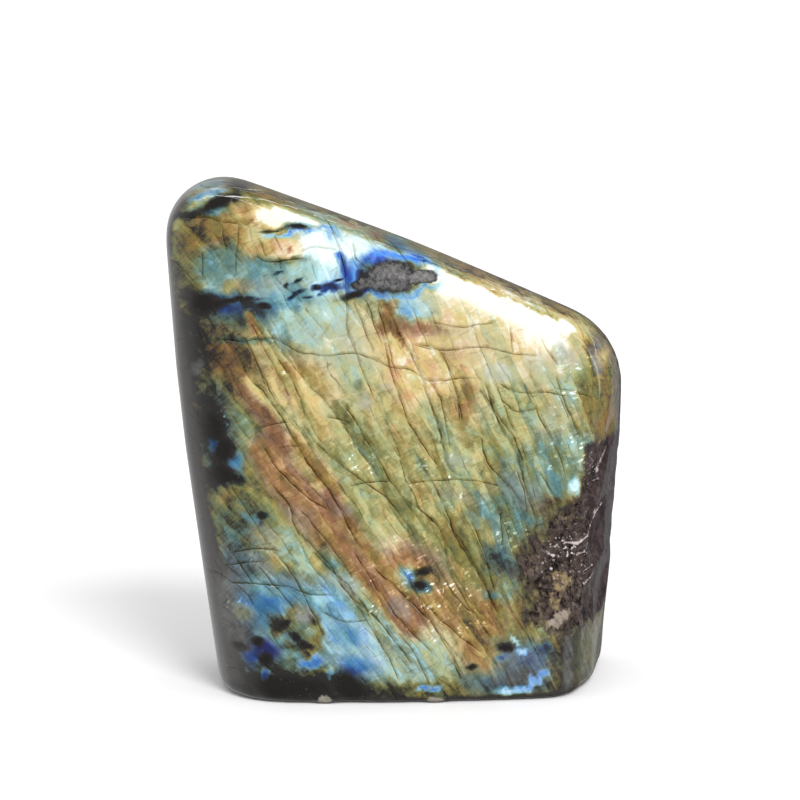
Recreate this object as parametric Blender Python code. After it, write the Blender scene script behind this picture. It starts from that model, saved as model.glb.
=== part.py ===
"""A polished labradorite freeform: one stone, ground to a slab that leans to a slanting ridge, sawn flat underneath.

Run with: blender --background --python part.py

The stone is lofted from back to front. Each ring is the outline of the stone with its walls moved in, so that the
edges between the walls and the two broad faces come out round. Shell-shaped bites are then cut where it broke
deeper than the polish. The frame is in metres with +Z up; the origin is the centre of the base, and the broad face
that shows the colours looks along -Y. Lengths below are in millimetres until a vertex is placed.
"""

import math

import bmesh
import bpy
from mathutils import Matrix, Vector, noise
from mathutils.bvhtree import BVHTree

MM = 0.001

# The outline from the front, clockwise from the left foot: x and z of each corner, and the radius that rounds it.
# The corners with a radius over 100 are gentle bends in a wall. The feet lie below the level where the base is sawn.
CORNERS = (
    (-32.1, -14.0, 9.0),
    (-41.7, 62.0, 420.0),
    (-43.9, 102.6, 10.9),
    (3.0, 85.1, 260.0),
    (44.1, 67.4, 15.6),
    (42.6, 36.0, 500.0),
    (40.4, -14.0, 9.0),
)
CORNER_STEPS = (3, 2, 10, 2, 9, 2, 3)  # cells round each corner
WALL_STEPS = (13, 8, 9, 7, 5, 11, 15)  # and along the wall that follows it

# Each wall in the order of the corners, at its start and its end: the radius of its edge with the front, the
# radius of its edge with the back, and how far its facet has come in by the time it meets the front.
FRONT_ROUND = ((14.0, 7.0), (7.0, 4.0), (3.2, 3.4), (3.4, 3.6), (3.6, 4.0), (4.0, 6.0), (6.0, 14.0))
BACK_ROUND = ((10.0, 8.0), (8.0, 6.0), (5.5, 6.5), (6.5, 7.0), (6.0, 6.0), (6.0, 3.0), (3.0, 10.0))
FACET = ((0.5, 0.5), (0.5, 0.5), (0.4, 0.4), (0.4, 0.4), (1.8, 4.0), (4.0, 7.2), (2.0, 2.0))
FACET_BOW = 1.6  # 1 leaves the facets flat, and more bows them out
LEAST_ROUND = 2.4  # a corner keeps at least this radius as the walls come in

# Each broad face: y at its foot, how far it leans in per millimetre of height, the radii of its dome
# across the stone and up it, and the x and z of the dome's crest.
FRONT = (-20.0, 0.085, 260.0, 1100.0, (-10.0, 46.0))
BACK = (20.0, -0.09, 330.0, 800.0, (2.0, 42.0))

FOOT_ROUND = 1.2  # the radius that softens the sawn edge
FOOT_LEVELS = (1.0, 0.55, 0.2, 0.0)  # the heights of that round's rows, as shares of its radius

EDGE_STEPS = 5  # cells round the edge between a wall and a broad face
WALL_SLICES = 5  # cells through the wall between its two round edges
FACE_RINGS = (0.9, 0.74, 0.55, 0.34, 0.14)  # the rings on each broad face, as shares of its rim
FACE_MIDDLE = (1.0, 42.0)  # the rings draw in to this x and z
MERGE = 0.08  # vertices nearer than this are made one after the sawing

# Bites: the side they are cut from, where along it (x, or y on the right side), the height, half the length and
# half the width of the mouth, the depth, and the turn of the mouth's length from level, in degrees.
BITES = (
    ("front", 39.4, 46.0, 6.6, 4.6, 1.0, 70),
    ("front", 37.8, 39.0, 7.4, 5.6, 1.4, 50),
    ("front", 34.0, 33.6, 7.6, 5.4, 1.1, 15),
    ("front", 39.0, 30.6, 7.4, 6.4, 1.5, 60),
    ("front", 29.4, 27.0, 7.4, 5.2, 0.9, -60),
    ("front", 35.4, 24.2, 8.6, 6.8, 1.6, 30),
    ("front", 27.6, 19.4, 6.4, 4.6, 0.7, 65),
    ("front", 32.4, 17.2, 8.0, 6.2, 1.1, -10),
    ("front", 37.8, 17.6, 7.0, 5.6, 1.2, 45),
    ("right", 2.0, 41.0, 9.5, 7.0, 1.2, 15),
    ("right", 5.0, 30.0, 10.5, 8.0, 1.5, -25),
    ("right", 1.0, 19.0, 8.5, 7.0, 1.2, 20),
    ("back", -22.0, 58.0, 9.0, 5.4, 0.9, 35),
    ("back", -14.0, 50.0, 6.4, 4.4, 0.8, 60),
    ("front", -8.0, 0.9, 2.1, 1.5, 0.5, 0),
    ("front", 12.6, 0.7, 1.9, 1.4, 0.5, 0),
    ("front", -34.6, 67.0, 2.0, 1.4, 0.35, 80),
)
FROM = {"front": Vector((0, -1, 0)), "back": Vector((0, 1, 0)), "right": Vector((1, 0, 0))}
BITE_BULGE = 3.0  # a cutter is this many times as thick, from its middle, as the bite is deep
BITE_SEGMENTS = 20
BITE_RAGGED = 0.16  # how far a rim wanders, as a share of its radius
BITE_WAVES = 1.7  # how often it wanders

STONE_COLOUR = (0.135, 0.135, 0.095, 1.0)
STONE_ROUGHNESS = 0.22


def mix(a, b, share):
    return a + (b - a) * share


def face_depth(face, x, z):
    """The y of a broad face over x and z."""
    foot, lean, radius_x, radius_z, crest = face
    fall = (x - crest[0]) ** 2 / (2 * radius_x) + (z - crest[1]) ** 2 / (2 * radius_z)
    return foot + lean * z - math.copysign(fall, foot)


def moved_walls(insets):
    """The walls of the outline as pairs of ends, each end moved in square to its wall."""
    walls = []
    for number, (start_in, end_in) in enumerate(insets):
        start = Vector(CORNERS[number][:2])
        end = Vector(CORNERS[(number + 1) % len(CORNERS)][:2])
        along = (end - start).normalized()
        inward = Vector((along.y, -along.x))
        walls.append((start + inward * start_in, end + inward * end_in))
    return walls


def meeting(first, second):
    """Where two walls meet, when both are drawn on as straight lines."""
    a, b = first
    c, d = second
    one, two = b - a, d - c
    return a + one * ((c - a).cross(two) / one.cross(two))


def corner_arc(before, corner, after, radius, steps):
    """The points of the arc that rounds this corner."""
    back = (before - corner).normalized()
    on = (after - corner).normalized()
    half = back.angle(on) / 2
    reach = radius / math.tan(half)
    middle = corner + (back + on).normalized() * (radius / math.sin(half))
    first = corner + back * reach - middle
    last = corner + on * reach - middle
    turn = first.angle_signed(last)
    points = []
    for step in range(steps + 1):
        angle = -turn * step / steps
        cos, sin = math.cos(angle), math.sin(angle)
        points.append(middle + Vector((first.x * cos - first.y * sin, first.x * sin + first.y * cos)))
    return points


def ring_outline(insets):
    """One ring of points: the outline with its walls moved in by these pairs of insets, and its corners rounded."""
    walls = moved_walls(insets)
    count = len(CORNERS)
    meets = [meeting(walls[number - 1], walls[number]) for number in range(count)]
    arcs = []
    for number in range(count):
        came_in = (insets[number - 1][1] + insets[number][0]) / 2
        radius = max(CORNERS[number][2] - came_in, LEAST_ROUND)
        after = meets[(number + 1) % count]
        arcs.append(corner_arc(meets[number - 1], meets[number], after, radius, CORNER_STEPS[number]))
    points = []
    for number, arc in enumerate(arcs):
        following = arcs[(number + 1) % count][0]
        steps = WALL_STEPS[number]
        points += arc
        points += [arc[-1].lerp(following, step / steps) for step in range(1, steps)]
    return points


def spread(pairs):
    """A number for each point of a ring, from a pair for each wall: blended round the corners, even along the walls."""
    values = []
    for number, (start, end) in enumerate(pairs):
        before = pairs[number - 1][1]
        steps = CORNER_STEPS[number]
        values += [mix(before, start, step / steps) for step in range(steps + 1)]
        steps = WALL_STEPS[number]
        values += [mix(start, end, step / steps) for step in range(1, steps)]
    return values


def edge_ring(face, rounds, turn, facet_share):
    """A ring on the round edge beside a broad face: turn is 0 at the wall and 90 degrees at the face."""
    into = 1 - math.cos(turn)
    insets = []
    for (start, end), (facet_start, facet_end) in zip(rounds, FACET):
        insets.append((start * into + facet_start * facet_share, end * into + facet_end * facet_share))
    behind = math.copysign(1 - math.sin(turn), -face[0])
    ring = []
    for point, radius in zip(ring_outline(insets), spread(rounds)):
        ring.append(Vector((point.x, face_depth(face, point.x, point.y) + radius * behind, point.y)))
    return ring


def face_ring(face, rim, share):
    """A ring on a broad face: its rim drawn in towards the middle."""
    middle_x, middle_z = FACE_MIDDLE
    ring = []
    for point in rim:
        x, z = mix(middle_x, point.x, share), mix(middle_z, point.z, share)
        ring.append(Vector((x, face_depth(face, x, z), z)))
    return ring


def wall_point(back, front, share):
    """A point on the wall between its two round edges. The wall bows out, as a facet ground by hand does."""
    bowed = share**FACET_BOW
    return Vector((mix(back.x, front.x, bowed), mix(back.y, front.y, share), mix(back.z, front.z, bowed)))


def all_rings():
    """Every ring of the loft, from the middle of the back to the middle of the front."""
    turns = [math.pi / 2 * step / EDGE_STEPS for step in range(EDGE_STEPS + 1)]
    back_edge = [edge_ring(BACK, BACK_ROUND, turn, 0.0) for turn in reversed(turns)]
    front_edge = [edge_ring(FRONT, FRONT_ROUND, turn, 1.0) for turn in turns]
    wall = []
    for step in range(1, WALL_SLICES):
        wall.append([wall_point(a, b, step / WALL_SLICES) for a, b in zip(back_edge[-1], front_edge[0])])
    back = [face_ring(BACK, back_edge[0], share) for share in reversed(FACE_RINGS)]
    front = [face_ring(FRONT, front_edge[-1], share) for share in FACE_RINGS]
    return back + back_edge + wall + front_edge + front


def next_ring(mesh, ring, places):
    """Extrudes the last ring and moves the new vertices to their places."""
    edges = [mesh.edges.get((ring[number - 1], ring[number])) for number in range(len(ring))]
    made = set(bmesh.ops.extrude_edge_only(mesh, edges=edges)["geom"])
    new = []
    for vertex, place in zip(ring, places):
        follower = next(edge.other_vert(vertex) for edge in vertex.link_edges if edge.other_vert(vertex) in made)
        follower.co = place * MM
        new.append(follower)
    return new


def close_ring(mesh, ring, face):
    """Fills the last small ring with a fan whose middle lies on the broad face."""
    cap = mesh.faces.new(ring)
    middle = bmesh.ops.poke(mesh, faces=[cap])["verts"][0]
    middle.co.y = face_depth(face, middle.co.x / MM, middle.co.z / MM) * MM


def ground_body():
    """The stone as it leaves the grinding wheel."""
    places = all_rings()
    mesh = bmesh.new()
    bmesh.ops.create_circle(mesh, segments=len(places[0]), radius=MM)
    mesh.verts.ensure_lookup_table()
    first = list(mesh.verts)
    for vertex, place in zip(first, places[0]):
        vertex.co = place * MM
    ring = first
    for ring_places in places[1:]:
        ring = next_ring(mesh, ring, ring_places)
    close_ring(mesh, first, BACK)
    close_ring(mesh, ring, FRONT)
    bmesh.ops.recalc_face_normals(mesh, faces=mesh.faces)
    return mesh


def centre_plan(mesh):
    """Puts the middle of the stone's bounding box over the origin."""
    for axis in (0, 1):
        values = [vertex.co[axis] for vertex in mesh.verts]
        middle = (min(values) + max(values)) / 2
        for vertex in mesh.verts:
            vertex.co[axis] -= middle


def low_vertices(mesh):
    return [vertex for vertex in mesh.verts if vertex.co.z < FOOT_ROUND * MM]


def saw_base(mesh):
    """Saws the foot off level at z = 0 and rounds the sawn edge over."""
    ways = {}
    for share in FOOT_LEVELS:
        everything = mesh.verts[:] + mesh.edges[:] + mesh.faces[:]
        level = Vector((0, 0, share * FOOT_ROUND * MM))
        last = share == FOOT_LEVELS[-1]
        bmesh.ops.bisect_plane(mesh, geom=everything, plane_co=level, plane_no=(0, 0, 1), clear_inner=last)
    rim = [edge for edge in mesh.edges if edge.is_boundary]
    mesh.normal_update()
    for vertex in low_vertices(mesh):
        height = max(vertex.co.z / MM, 0.0)
        come_in = FOOT_ROUND - math.sqrt(FOOT_ROUND**2 - (FOOT_ROUND - height) ** 2)
        ways[vertex] = Vector((vertex.normal.x, vertex.normal.y, 0)).normalized() * come_in * MM
    for vertex, way in ways.items():
        vertex.co -= way
    bmesh.ops.edgeloop_fill(mesh, edges=rim)
    bmesh.ops.remove_doubles(mesh, verts=mesh.verts, dist=MERGE * MM)
    bmesh.ops.recalc_face_normals(mesh, faces=mesh.faces)


def add_object(name, mesh):
    data = bpy.data.meshes.new(name)
    mesh.to_mesh(data)
    mesh.free()
    made = bpy.data.objects.new(name, data)
    bpy.context.scene.collection.objects.link(made)
    return made


def bite_cutter(name, surface, bite):
    """A flattened, uneven ball set into the surface: it leaves a shallow shell-shaped hollow with a crisp rim."""
    side, along, height, half_length, half_width, depth, turn = bite
    out = FROM[side]
    aim = Vector((0, along, height)) if side == "right" else Vector((along, 0, height))
    point, normal, _, _ = surface.ray_cast((aim + out * 100) * MM, -out)
    mesh = bmesh.new()
    bmesh.ops.create_uvsphere(mesh, u_segments=BITE_SEGMENTS, v_segments=BITE_SEGMENTS // 2, radius=1)
    for vertex in mesh.verts:
        vertex.co *= 1 + BITE_RAGGED * noise.noise(vertex.co * BITE_WAVES + aim)
    thick = depth * BITE_BULGE
    sunk = thick - depth
    spread_out = MM / math.sqrt(1 - (sunk / thick) ** 2)
    bmesh.ops.scale(mesh, vec=(half_length * spread_out, half_width * spread_out, thick * MM), verts=mesh.verts)
    cutter = add_object(name, mesh)
    level = Vector((0, 0, 1)).cross(normal).normalized()
    frame = Matrix((level, normal.cross(level), normal)).transposed()
    cutter.matrix_world = (
        Matrix.Translation(point + normal * sunk * MM) @ frame.to_4x4() @ Matrix.Rotation(math.radians(turn), 4, "Z")
    )
    cutter.hide_render = True
    cutter.display_type = "WIRE"
    return cutter


def bite_stone(stone, surface):
    for number, bite in enumerate(BITES):
        cut = stone.modifiers.new(f"bite_{number:02d}", "BOOLEAN")
        cut.operation = "DIFFERENCE"
        cut.object = bite_cutter(f"cutter_{number:02d}", surface, bite)


def labradorite():
    made = bpy.data.materials.new("polished_labradorite")
    made.use_nodes = True
    shader = made.node_tree.nodes["Principled BSDF"]
    shader.inputs["Base Color"].default_value = STONE_COLOUR
    shader.inputs["Roughness"].default_value = STONE_ROUGHNESS
    shader.inputs["Metallic"].default_value = 0.0
    return made


def clear_scene():
    for old in list(bpy.data.objects):
        bpy.data.objects.remove(old)


def main():
    clear_scene()
    mesh = ground_body()
    saw_base(mesh)
    centre_plan(mesh)
    surface = BVHTree.FromBMesh(mesh)
    stone = add_object("labradorite_stone", mesh)
    stone.data.materials.append(labradorite())
    stone.data.shade_smooth()
    bite_stone(stone, surface)


main()
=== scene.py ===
"""A polished labradorite freeform with one broken, unpolished patch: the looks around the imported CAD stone.

The stone is one piece. A finer copy of the CAD solid is smoothed where it is polished, and gets shell-shaped
ledges and crumb where it is broken. The play of colour lies under the polish, so it is paint and no relief.
Each point of the stone holds which thin-film colour it flashes, how strongly, and how near it is to a crack.
The tables below are in millimetres on the broad face, as x and z from the centre of the base.
"""

import functools
import math

import bpy
import numpy as np
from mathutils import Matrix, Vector, noise


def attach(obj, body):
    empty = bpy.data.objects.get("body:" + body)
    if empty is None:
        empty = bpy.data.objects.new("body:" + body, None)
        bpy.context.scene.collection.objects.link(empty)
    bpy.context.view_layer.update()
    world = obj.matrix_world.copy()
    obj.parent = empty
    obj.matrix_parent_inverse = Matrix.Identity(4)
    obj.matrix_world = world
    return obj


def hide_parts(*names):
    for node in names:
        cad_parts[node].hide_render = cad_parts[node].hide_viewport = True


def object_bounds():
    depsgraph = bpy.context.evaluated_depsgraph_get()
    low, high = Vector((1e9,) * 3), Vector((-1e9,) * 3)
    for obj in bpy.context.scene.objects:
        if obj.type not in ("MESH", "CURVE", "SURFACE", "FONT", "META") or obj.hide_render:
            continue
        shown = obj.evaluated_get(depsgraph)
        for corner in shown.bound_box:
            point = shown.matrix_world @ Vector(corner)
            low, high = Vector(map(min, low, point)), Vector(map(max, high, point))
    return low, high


MM = 0.001
NODE = "labradorite_stone"
NOISE_SEED = 5

# ---------------------------------------------------------------- the stone's shape

MERGE = 1e-6  # the solid's loose triangles share corners within this, in metres
VOXEL = 0.6 * MM  # the finer copy's cells
POLISH_ROUNDS = 60  # how long the polished skin is smoothed
BREAK_ROUNDS = 3  # and the break, which keeps its ridges
WALL_X = 30  # the right-hand wall lies past this x
WALL_START = -16  # the y where the break's outline starts to run back along the wall
WALL_CREST, WALL_CREST_WIDTH = 7.5, 10  # the wall's widest line, where the relief stays low
WALL_DENTS = ((-0.2, 37.6), (0.2, 41))  # how much more or less it swells at a height
SWELL, CORNER_SWELL = 0.95, 1.3  # what the wall and the corner of the base get back
BASE_CORNER, CORNER_REACH = (37, -6, 0.5), 13
FACE_LEAN = 4.9  # how far the broad faces lean back from upright, in degrees

# The break's outline, unrolled: along the broad face and on round the right-hand wall, against the height.
BREAK_OUTLINE = (
    (44.1, 49.4), (40.7, 48.9), (39.6, 46.4), (38.6, 41.8), (38.1, 38.2), (34.5, 37.2), (28.6, 36.8),
    (26.7, 35.9), (25.8, 33.9), (25.8, 31.3), (23.9, 28.8), (21.5, 27.2), (21, 25.3), (21.3, 23.2),
    (22.7, 21.1), (23.8, 19.1), (23.8, 17.2), (23.9, 15.1), (25.7, 12.9), (28.6, 12.3), (32.6, 11.5),
    (36.7, 12.5), (48.5, 12.3), (58.5, 12.5), (62.9, 13.8), (66, 12), (72, 20), (74, 28), (74, 36), (71, 44),
    (64, 48.4),
)
BREAK_LEFT, BREAK_BACK = 15, 17  # the break lies on the right of this x and before this y
# The breaks on the back: x, z, half length, half width, turn.
BACK_BREAKS = ((-22, 58, 8.2, 4.8, 35), (-14, 50, 5.8, 3.9, 60))
CHIPS = ((-13.2, 0.8, 1.4, 0.9), (7.6, 0.6, 1.6, 0.6))  # x, z and half sizes

# Each ledge is the lip of a flake: the centre of its arc, its radius, where the arc starts and ends in
# degrees from the +x direction, how deep the stone drops inside the lip, and how bright its painted highlight
# is.
LEDGES = (
    (37.6, 38.7, 9, -116, -14, 0.7, 0.9),
    (48.4, 43.1, 9, -118, -49, 0.3, 1),
    (35.6, 41.8, 9, -89, -33, 0.35, 0.4),
    (46, 32.2, 9, 73, 141, 0.5, 0.7),
    (46.1, 48.8, 6.3, -108, -11, 0.5, 0.7),
    (40.6, 36.4, 9, -111, -56, 0.35, 0.7),
    (59.2, 15.8, 9, 68, 129, 0.3, 0.9),
    (46.2, 15.1, 9, 75, 131, 0.5, 1),
    (44.3, 29.9, 9, -113, -49, 0.3, 0.8),
    (31, 30.8, 3.4, -147, -52, 0.3, 1),
    (29.1, 21.3, 9, 52, 92, 0.3, 0.8),
    (33.7, 38.8, 9, -128, -69, 0.3, 0.35),
    (35.4, 51.3, 9, -62, -23, 0.3, 0.45),
    (37.5, 28.2, 3.9, -142, -57, 0.25, 0.6),
    (30.6, 22.6, 4, 47, 119, 0.2, 0.7),
    (41.6, 33.9, 4.6, 94, 162, 0.3, 0.35),
)

# Paler granular places in the break: name, x, z, half width, half height, turn, share.
TAN_GRAINS = (
    ("tan patch", 31.1, 23.1, 2.1, 2.3, 20, 0.68), ("tan seam", 30.4, 19.1, 1.7, 2.5, 10, 0.5),
    ("smoky top", 30.1, 34.6, 4.2, 1.7, -8, 0.35), ("brown corner", 38.8, 48.5, 1.3, 0.6, 0, 0.6),
    ("left grains", 24.5, 26, 2.3, 3.4, 0, 0.2), ("left low grains", 26.5, 18.1, 2.3, 4.2, 0, 0.25),
)
PINK_GRAINS = (
    ("beige wedge", 30.7, 15.2, 2.9, 1.5, 38, 0.85), ("beige foot", 26.5, 12.3, 3, 0.6, 8, 0.7),
    ("rose column", 31.6, 10.4, 0.8, 2.3, 0, 0.5),
)

# ---------------------------------------------------------------- the play of colour

# Order runs through the thin-film colours from indigo (0) to rose brown (1). Glow is how strongly the patch
# flashes: 0 is the grey body, 0.5 a clear colour and 1 a blown-out flash. Soft is the width of the edge, as a
# share of the patch. Later rows lie over earlier ones.
SPOTS = (  # name, x, z, half width, half height, turn, order, glow, soft
    ("the whole face", 0, 50.2, 76.2, 76.2, 0, 0.58, 0.48, 0.2),
    ("teal shoulder", -25.4, 80.2, 11.8, 4.6, 6, 0.36, 0.58, 0.4),
    ("olive edge of the shoulder", -38.4, 82.4, 3, 8.4, 4, 0.56, 0.14, 0.6),
    ("teal by the edge", -33.5, 83.7, 4.2, 3.8, 0, 0.4, 0.4, 0.5),
    ("left shade", -37.4, 66.5, 3.8, 10.3, 4, 0.62, 0.04, 0.6),
    ("mint field", -14.3, 70.9, 11.8, 5.3, -12, 0.39, 0.78, 0.5),
    ("grey mint field", -9.3, 65, 8.4, 7.6, -10, 0.45, 0.82, 0.6),
    ("beige field", -16.5, 59.8, 6.1, 5.7, -30, 0.7, 0.7, 0.6),
    ("mint cream head", -10.2, 68.3, 5, 1.9, 14, 0.5, 0.94, 0.6),
    ("bright mint", -11.3, 73.5, 3.4, 1.7, 0, 0.37, 0.9, 0.6),
    ("teal seam field", -19.8, 76.3, 6.9, 2.1, 2, 0.28, 0.52, 0.5),
    ("dark mustard", 3.1, 47.1, 3.8, 2.7, -30, 0.62, 0.42, 0.6),
    ("gold by the patch", 15, 54.8, 3.8, 2.5, -20, 0.7, 0.64, 0.5),
    ("honey field", 6.5, 66.8, 14.5, 8.4, -22, 0.71, 0.82, 0.5),
    ("honey foot", 0.5, 52.9, 9.1, 8.8, -20, 0.62, 0.72, 0.5),
    ("peach plates", 3.7, 60.9, 4.6, 4.2, -10, 0.75, 0.86, 0.5),
    ("sage field", 25.1, 62.4, 8.8, 5.7, -28, 0.58, 0.78, 0.5),
    ("right olive", 23.3, 52.7, 9.9, 6.5, -45, 0.54, 0.64, 0.5),
    ("right mint", 30.8, 54.7, 5, 6.1, -40, 0.52, 0.64, 0.45),
    ("right dark olive", 37.2, 59.8, 2.5, 8.8, -8, 0.62, 0.36, 0.5),
    ("cream brown corner", 35.2, 66.2, 2.3, 3.4, -10, 0.68, 0.5, 0.6),
    ("tan at the right edge", 39.5, 50.7, 1.7, 2.5, 0, 0.72, 0.44, 0.5),
    ("teal right", 30.1, 47.3, 7.2, 3.2, 8, 0.42, 0.54, 0.6),
    ("grey teal right", 26.3, 41.4, 6.9, 4.6, -30, 0.44, 0.52, 0.5),
    ("teal by the chip", 31.2, 42.4, 3.8, 4.2, -10, 0.4, 0.46, 0.5),
    ("brown gold stripes", -30.3, 64.5, 7.6, 5, -60, 0.74, 0.24, 0.5),
    ("dull blue under the seam", -30.2, 71.9, 4.6, 1.5, -4, 0.4, 0.18, 0.6),
    ("left dark", -33.7, 49.9, 3.6, 8.8, 4, 0.38, 0.12, 0.6),
    ("left tan", -27.8, 39.4, 3.4, 2.7, -40, 0.66, 0.42, 0.5),
    ("left grey green", -29, 33.1, 5, 5, -60, 0.52, 0.26, 0.6),
    ("left pale foot", -18.1, 28.4, 6.9, 4.6, -45, 0.56, 0.66, 0.6),
    ("dark grey green foot", -29.4, 26.3, 4.6, 3, 0, 0.36, 0.18, 0.6),
    ("olive field", 1.3, 38.9, 17.5, 8.8, -52, 0.57, 0.56, 0.4),
    ("yellow green plates", 9.3, 45.3, 8.4, 6.5, -45, 0.55, 0.66, 0.5),
    ("yellow foot", 0.9, 32.3, 6.9, 3, -30, 0.59, 0.6, 0.5),
    ("green foot", 20.5, 34.7, 6.5, 7.6, -60, 0.42, 0.4, 0.4),
    ("green brown foot", 13.6, 28.9, 5, 6.5, -60, 0.56, 0.46, 0.45),
    ("brown foot", 1.8, 22, 8.8, 8, -45, 0.82, 0.44, 0.4),
    ("orange brown foot", 9.5, 15.7, 7.6, 6.5, -45, 0.75, 0.52, 0.5),
    ("tan foot", 16.3, 15.9, 5, 6.5, -50, 0.7, 0.48, 0.5),
    ("teal green by the break", 22.1, 21.5, 2.7, 2.3, 0, 0.42, 0.5, 0.5),
    ("grey foot", -19.7, 7.8, 19, 5.7, 0, 0.45, 0.14, 0.5),
    ("blue field", -20.8, 18.1, 9.5, 5.7, -10, 0.22, 0.38, 0.6),
    ("slate by the left edge", -29.9, 17.2, 3.8, 11.4, 4, 0.22, 0.12, 0.5),
    ("grey round the hook", -17.4, 14, 5, 4.6, 0, 0.55, 0.2, 0.6),
    ("light blue band", -19.7, 21.9, 9.9, 1.3, -4, 0.3, 0.46, 0.7),
    ("strong blue", -24.9, 19.2, 4.2, 1.7, 4, 0.18, 0.5, 0.6),
    ("olive left of the blue", -29.9, 17.2, 3.2, 1.5, 0, 0.56, 0.26, 0.5),
    ("light blue field", -11.4, 19.3, 5, 5, -40, 0.3, 0.6, 0.6),
    ("cyan patch", -14.4, 20.8, 1.7, 1.5, 0, 0.28, 0.86, 0.5),
    ("pale cyan field", -1.7, 10.9, 11.8, 6.1, -14, 0.45, 0.84, 0.5),
    ("pale mint foot", 3.5, 8.6, 7.6, 4.2, -20, 0.45, 0.76, 0.5),
    ("blue by the foot", -7, 7.5, 4.2, 2.5, -10, 0.2, 0.54, 0.6),
    ("cyan streaks", -9.2, 13.2, 5, 3, -25, 0.25, 0.62, 0.7),
    ("olive foot", 4.7, 2.4, 11.4, 1.3, 0, 0.6, 0.26, 0.5),
    ("smoky corner", 22.4, 5.8, 8.4, 5.3, 0, 0.24, 0.1, 0.6),
    ("slate of the smoky corner", 25.8, 8, 4.6, 2.1, 10, 0.14, 0.3, 0.8),
    ("grey brown by the corner", 31.1, 6.1, 2.3, 4.6, 0, 0.64, 0.12, 0.7),
    ("smoky brown over the break", 30.1, 36.6, 4.6, 1.7, -8, 0.68, 0.3, 0.7),
    ("smoky brown by the break", 25.3, 27.7, 2.7, 4.6, -20, 0.66, 0.2, 0.7),
    ("smoky brown low by the break", 24.2, 18.7, 1.9, 5, 0, 0.66, 0.24, 0.7),
    ("smoky tan", 16, 9.2, 5, 3, -20, 0.76, 0.5, 0.6),
    ("dark foot", -17.9, 2.1, 17.1, 2.5, 0, 0.6, 0.04, 0.5),
    ("white flare", -11.7, 85.3, 8, 4.2, -8, 0.33, 1.12, 0.4),
    ("white flare right", -4.3, 85.9, 6.1, 1.9, -16, 0.34, 1.02, 0.5),
    ("flare tail", -12.8, 79.8, 3.4, 3.4, 0, 0.31, 1, 0.5),
    ("pale cyan left of the flare", -17.6, 81.2, 3, 1.9, 0, 0.38, 0.72, 0.5),
    ("rusty shoulder", -33.2, 89, 6.1, 2.5, 0, 0.72, 0.48, 0.4),
    ("olive brown corner", -38, 87.6, 2.9, 2.7, 0, 0.66, 0.22, 0.6),
    ("gold shoulder", -27.2, 91.1, 3, 2.5, -10, 0.69, 0.66, 0.4),
    ("gold under the sliver", -26.8, 86.7, 2.7, 2.7, 0, 0.7, 0.6, 0.5),
    ("pale gold spot", -22, 91.6, 3.8, 2.1, -6, 0.61, 1.14, 0.35),
    ("white right of the spot", -16.9, 90.8, 3.8, 1.3, -14, 0.46, 1.05, 0.4),
    ("peach spot", -20.5, 86.1, 4, 2.3, 0, 0.72, 1, 0.35),
    ("gold white left of the peach", -24.6, 87.8, 2.3, 1.3, -10, 0.6, 0.8, 0.5),
    ("tan slab", -23.9, 85.8, 1.5, 1.7, -20, 0.68, 0.66, 0.3),
    ("purple dot", -19.4, 85.6, 0.6, 0.3, -10, 0.97, 0.5, 0.6),
    ("teal under the peach", -20.2, 83.4, 4.2, 0.7, 3, 0.42, 0.4, 0.5),
    ("olive patch", -29.8, 78, 2.5, 1.9, 0, 0.62, 0.4, 0.4),
    ("blue sheen", -35, 94.9, 3.8, 1.1, 24, 0.2, 0.56, 0.4),
    ("yellow sheen", -36.3, 93.3, 2.7, 0.8, 26, 0.56, 0.74, 0.4),
    ("teal under the ridge", -33.3, 91.9, 2.3, 1, 0, 0.38, 0.6, 0.4),
    ("cyan right of the sliver", -11.3, 88.5, 1.5, 1.9, 0, 0.26, 0.84, 0.7),
    ("indigo smudge", -12, 78.3, 2.7, 0.8, 0, 0.08, 0.3, 0.5),
    ("inclusion rim", -0.4, 80.7, 9.3, 4.2, 0, 0.07, 0.44, 0.3),
    ("inclusion core", 0.2, 80.5, 6.5, 2.7, 0, 0.66, 0.3, 0.4),
    ("royal top rim", -3.1, 83.2, 3.8, 1.1, -14, 0.05, 0.66, 0.5),
    ("azure top rim", 3.1, 84, 5, 0.6, 2, 0.16, 0.8, 0.6),
    ("navy tip", -6.1, 79.6, 1.9, 1.5, -20, 0.05, 0.04, 0.6),
    ("cyan fringe", 7.6, 81.6, 1.3, 2.5, 0, 0.3, 0.96, 0.5),
    ("cream foot of the fringe", 4.2, 76.8, 3.4, 0.6, 0, 0.56, 0.9, 0.6),
    ("blue spot", 2.2, 74.3, 3.4, 2.5, 0, 0.17, 0.62, 0.75),
    ("pale lobe of the blue spot", 7.2, 74.5, 2.7, 1.9, 0, 0.17, 0.52, 0.8),
    ("rust under the blue spot", 4.6, 70.9, 6.5, 1.3, -4, 0.86, 0.46, 0.9),
    ("rust right of the blue spot", 9.6, 73.8, 1.5, 1.9, 0, 0.86, 0.56, 0.7),
    ("rust left of the blue spot", -1.5, 73.1, 1.3, 3.2, -16, 0.86, 0.4, 0.6),
    ("seam shade", -29.5, 74.5, 6.5, 2.3, -5, 0.2, 0.12, 0.4),
    ("blue in the seam", -30.6, 74, 2.3, 1.1, 0, 0.12, 0.24, 0.5),
    ("smoky brown patch", 13.2, 57.8, 1.9, 3, -10, 0.77, 0.56, 0.6),
    ("sage white", 19.3, 62.3, 3.2, 2.1, -10, 0.54, 0.92, 0.5),
    ("teal fleck", -34.3, 48.9, 1, 1.5, 0, 0.33, 0.55, 0.4),
    ("blue fleck", -29.8, 46.1, 1.7, 1.7, 0, 0.25, 0.46, 0.6),
    ("grey blue streak", -27.1, 35.2, 2.1, 0.8, -25, 0.3, 0.4, 0.5),
    ("teal in the hook", -21, 13.2, 1.9, 1.7, -30, 0.31, 0.56, 0.6),
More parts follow.
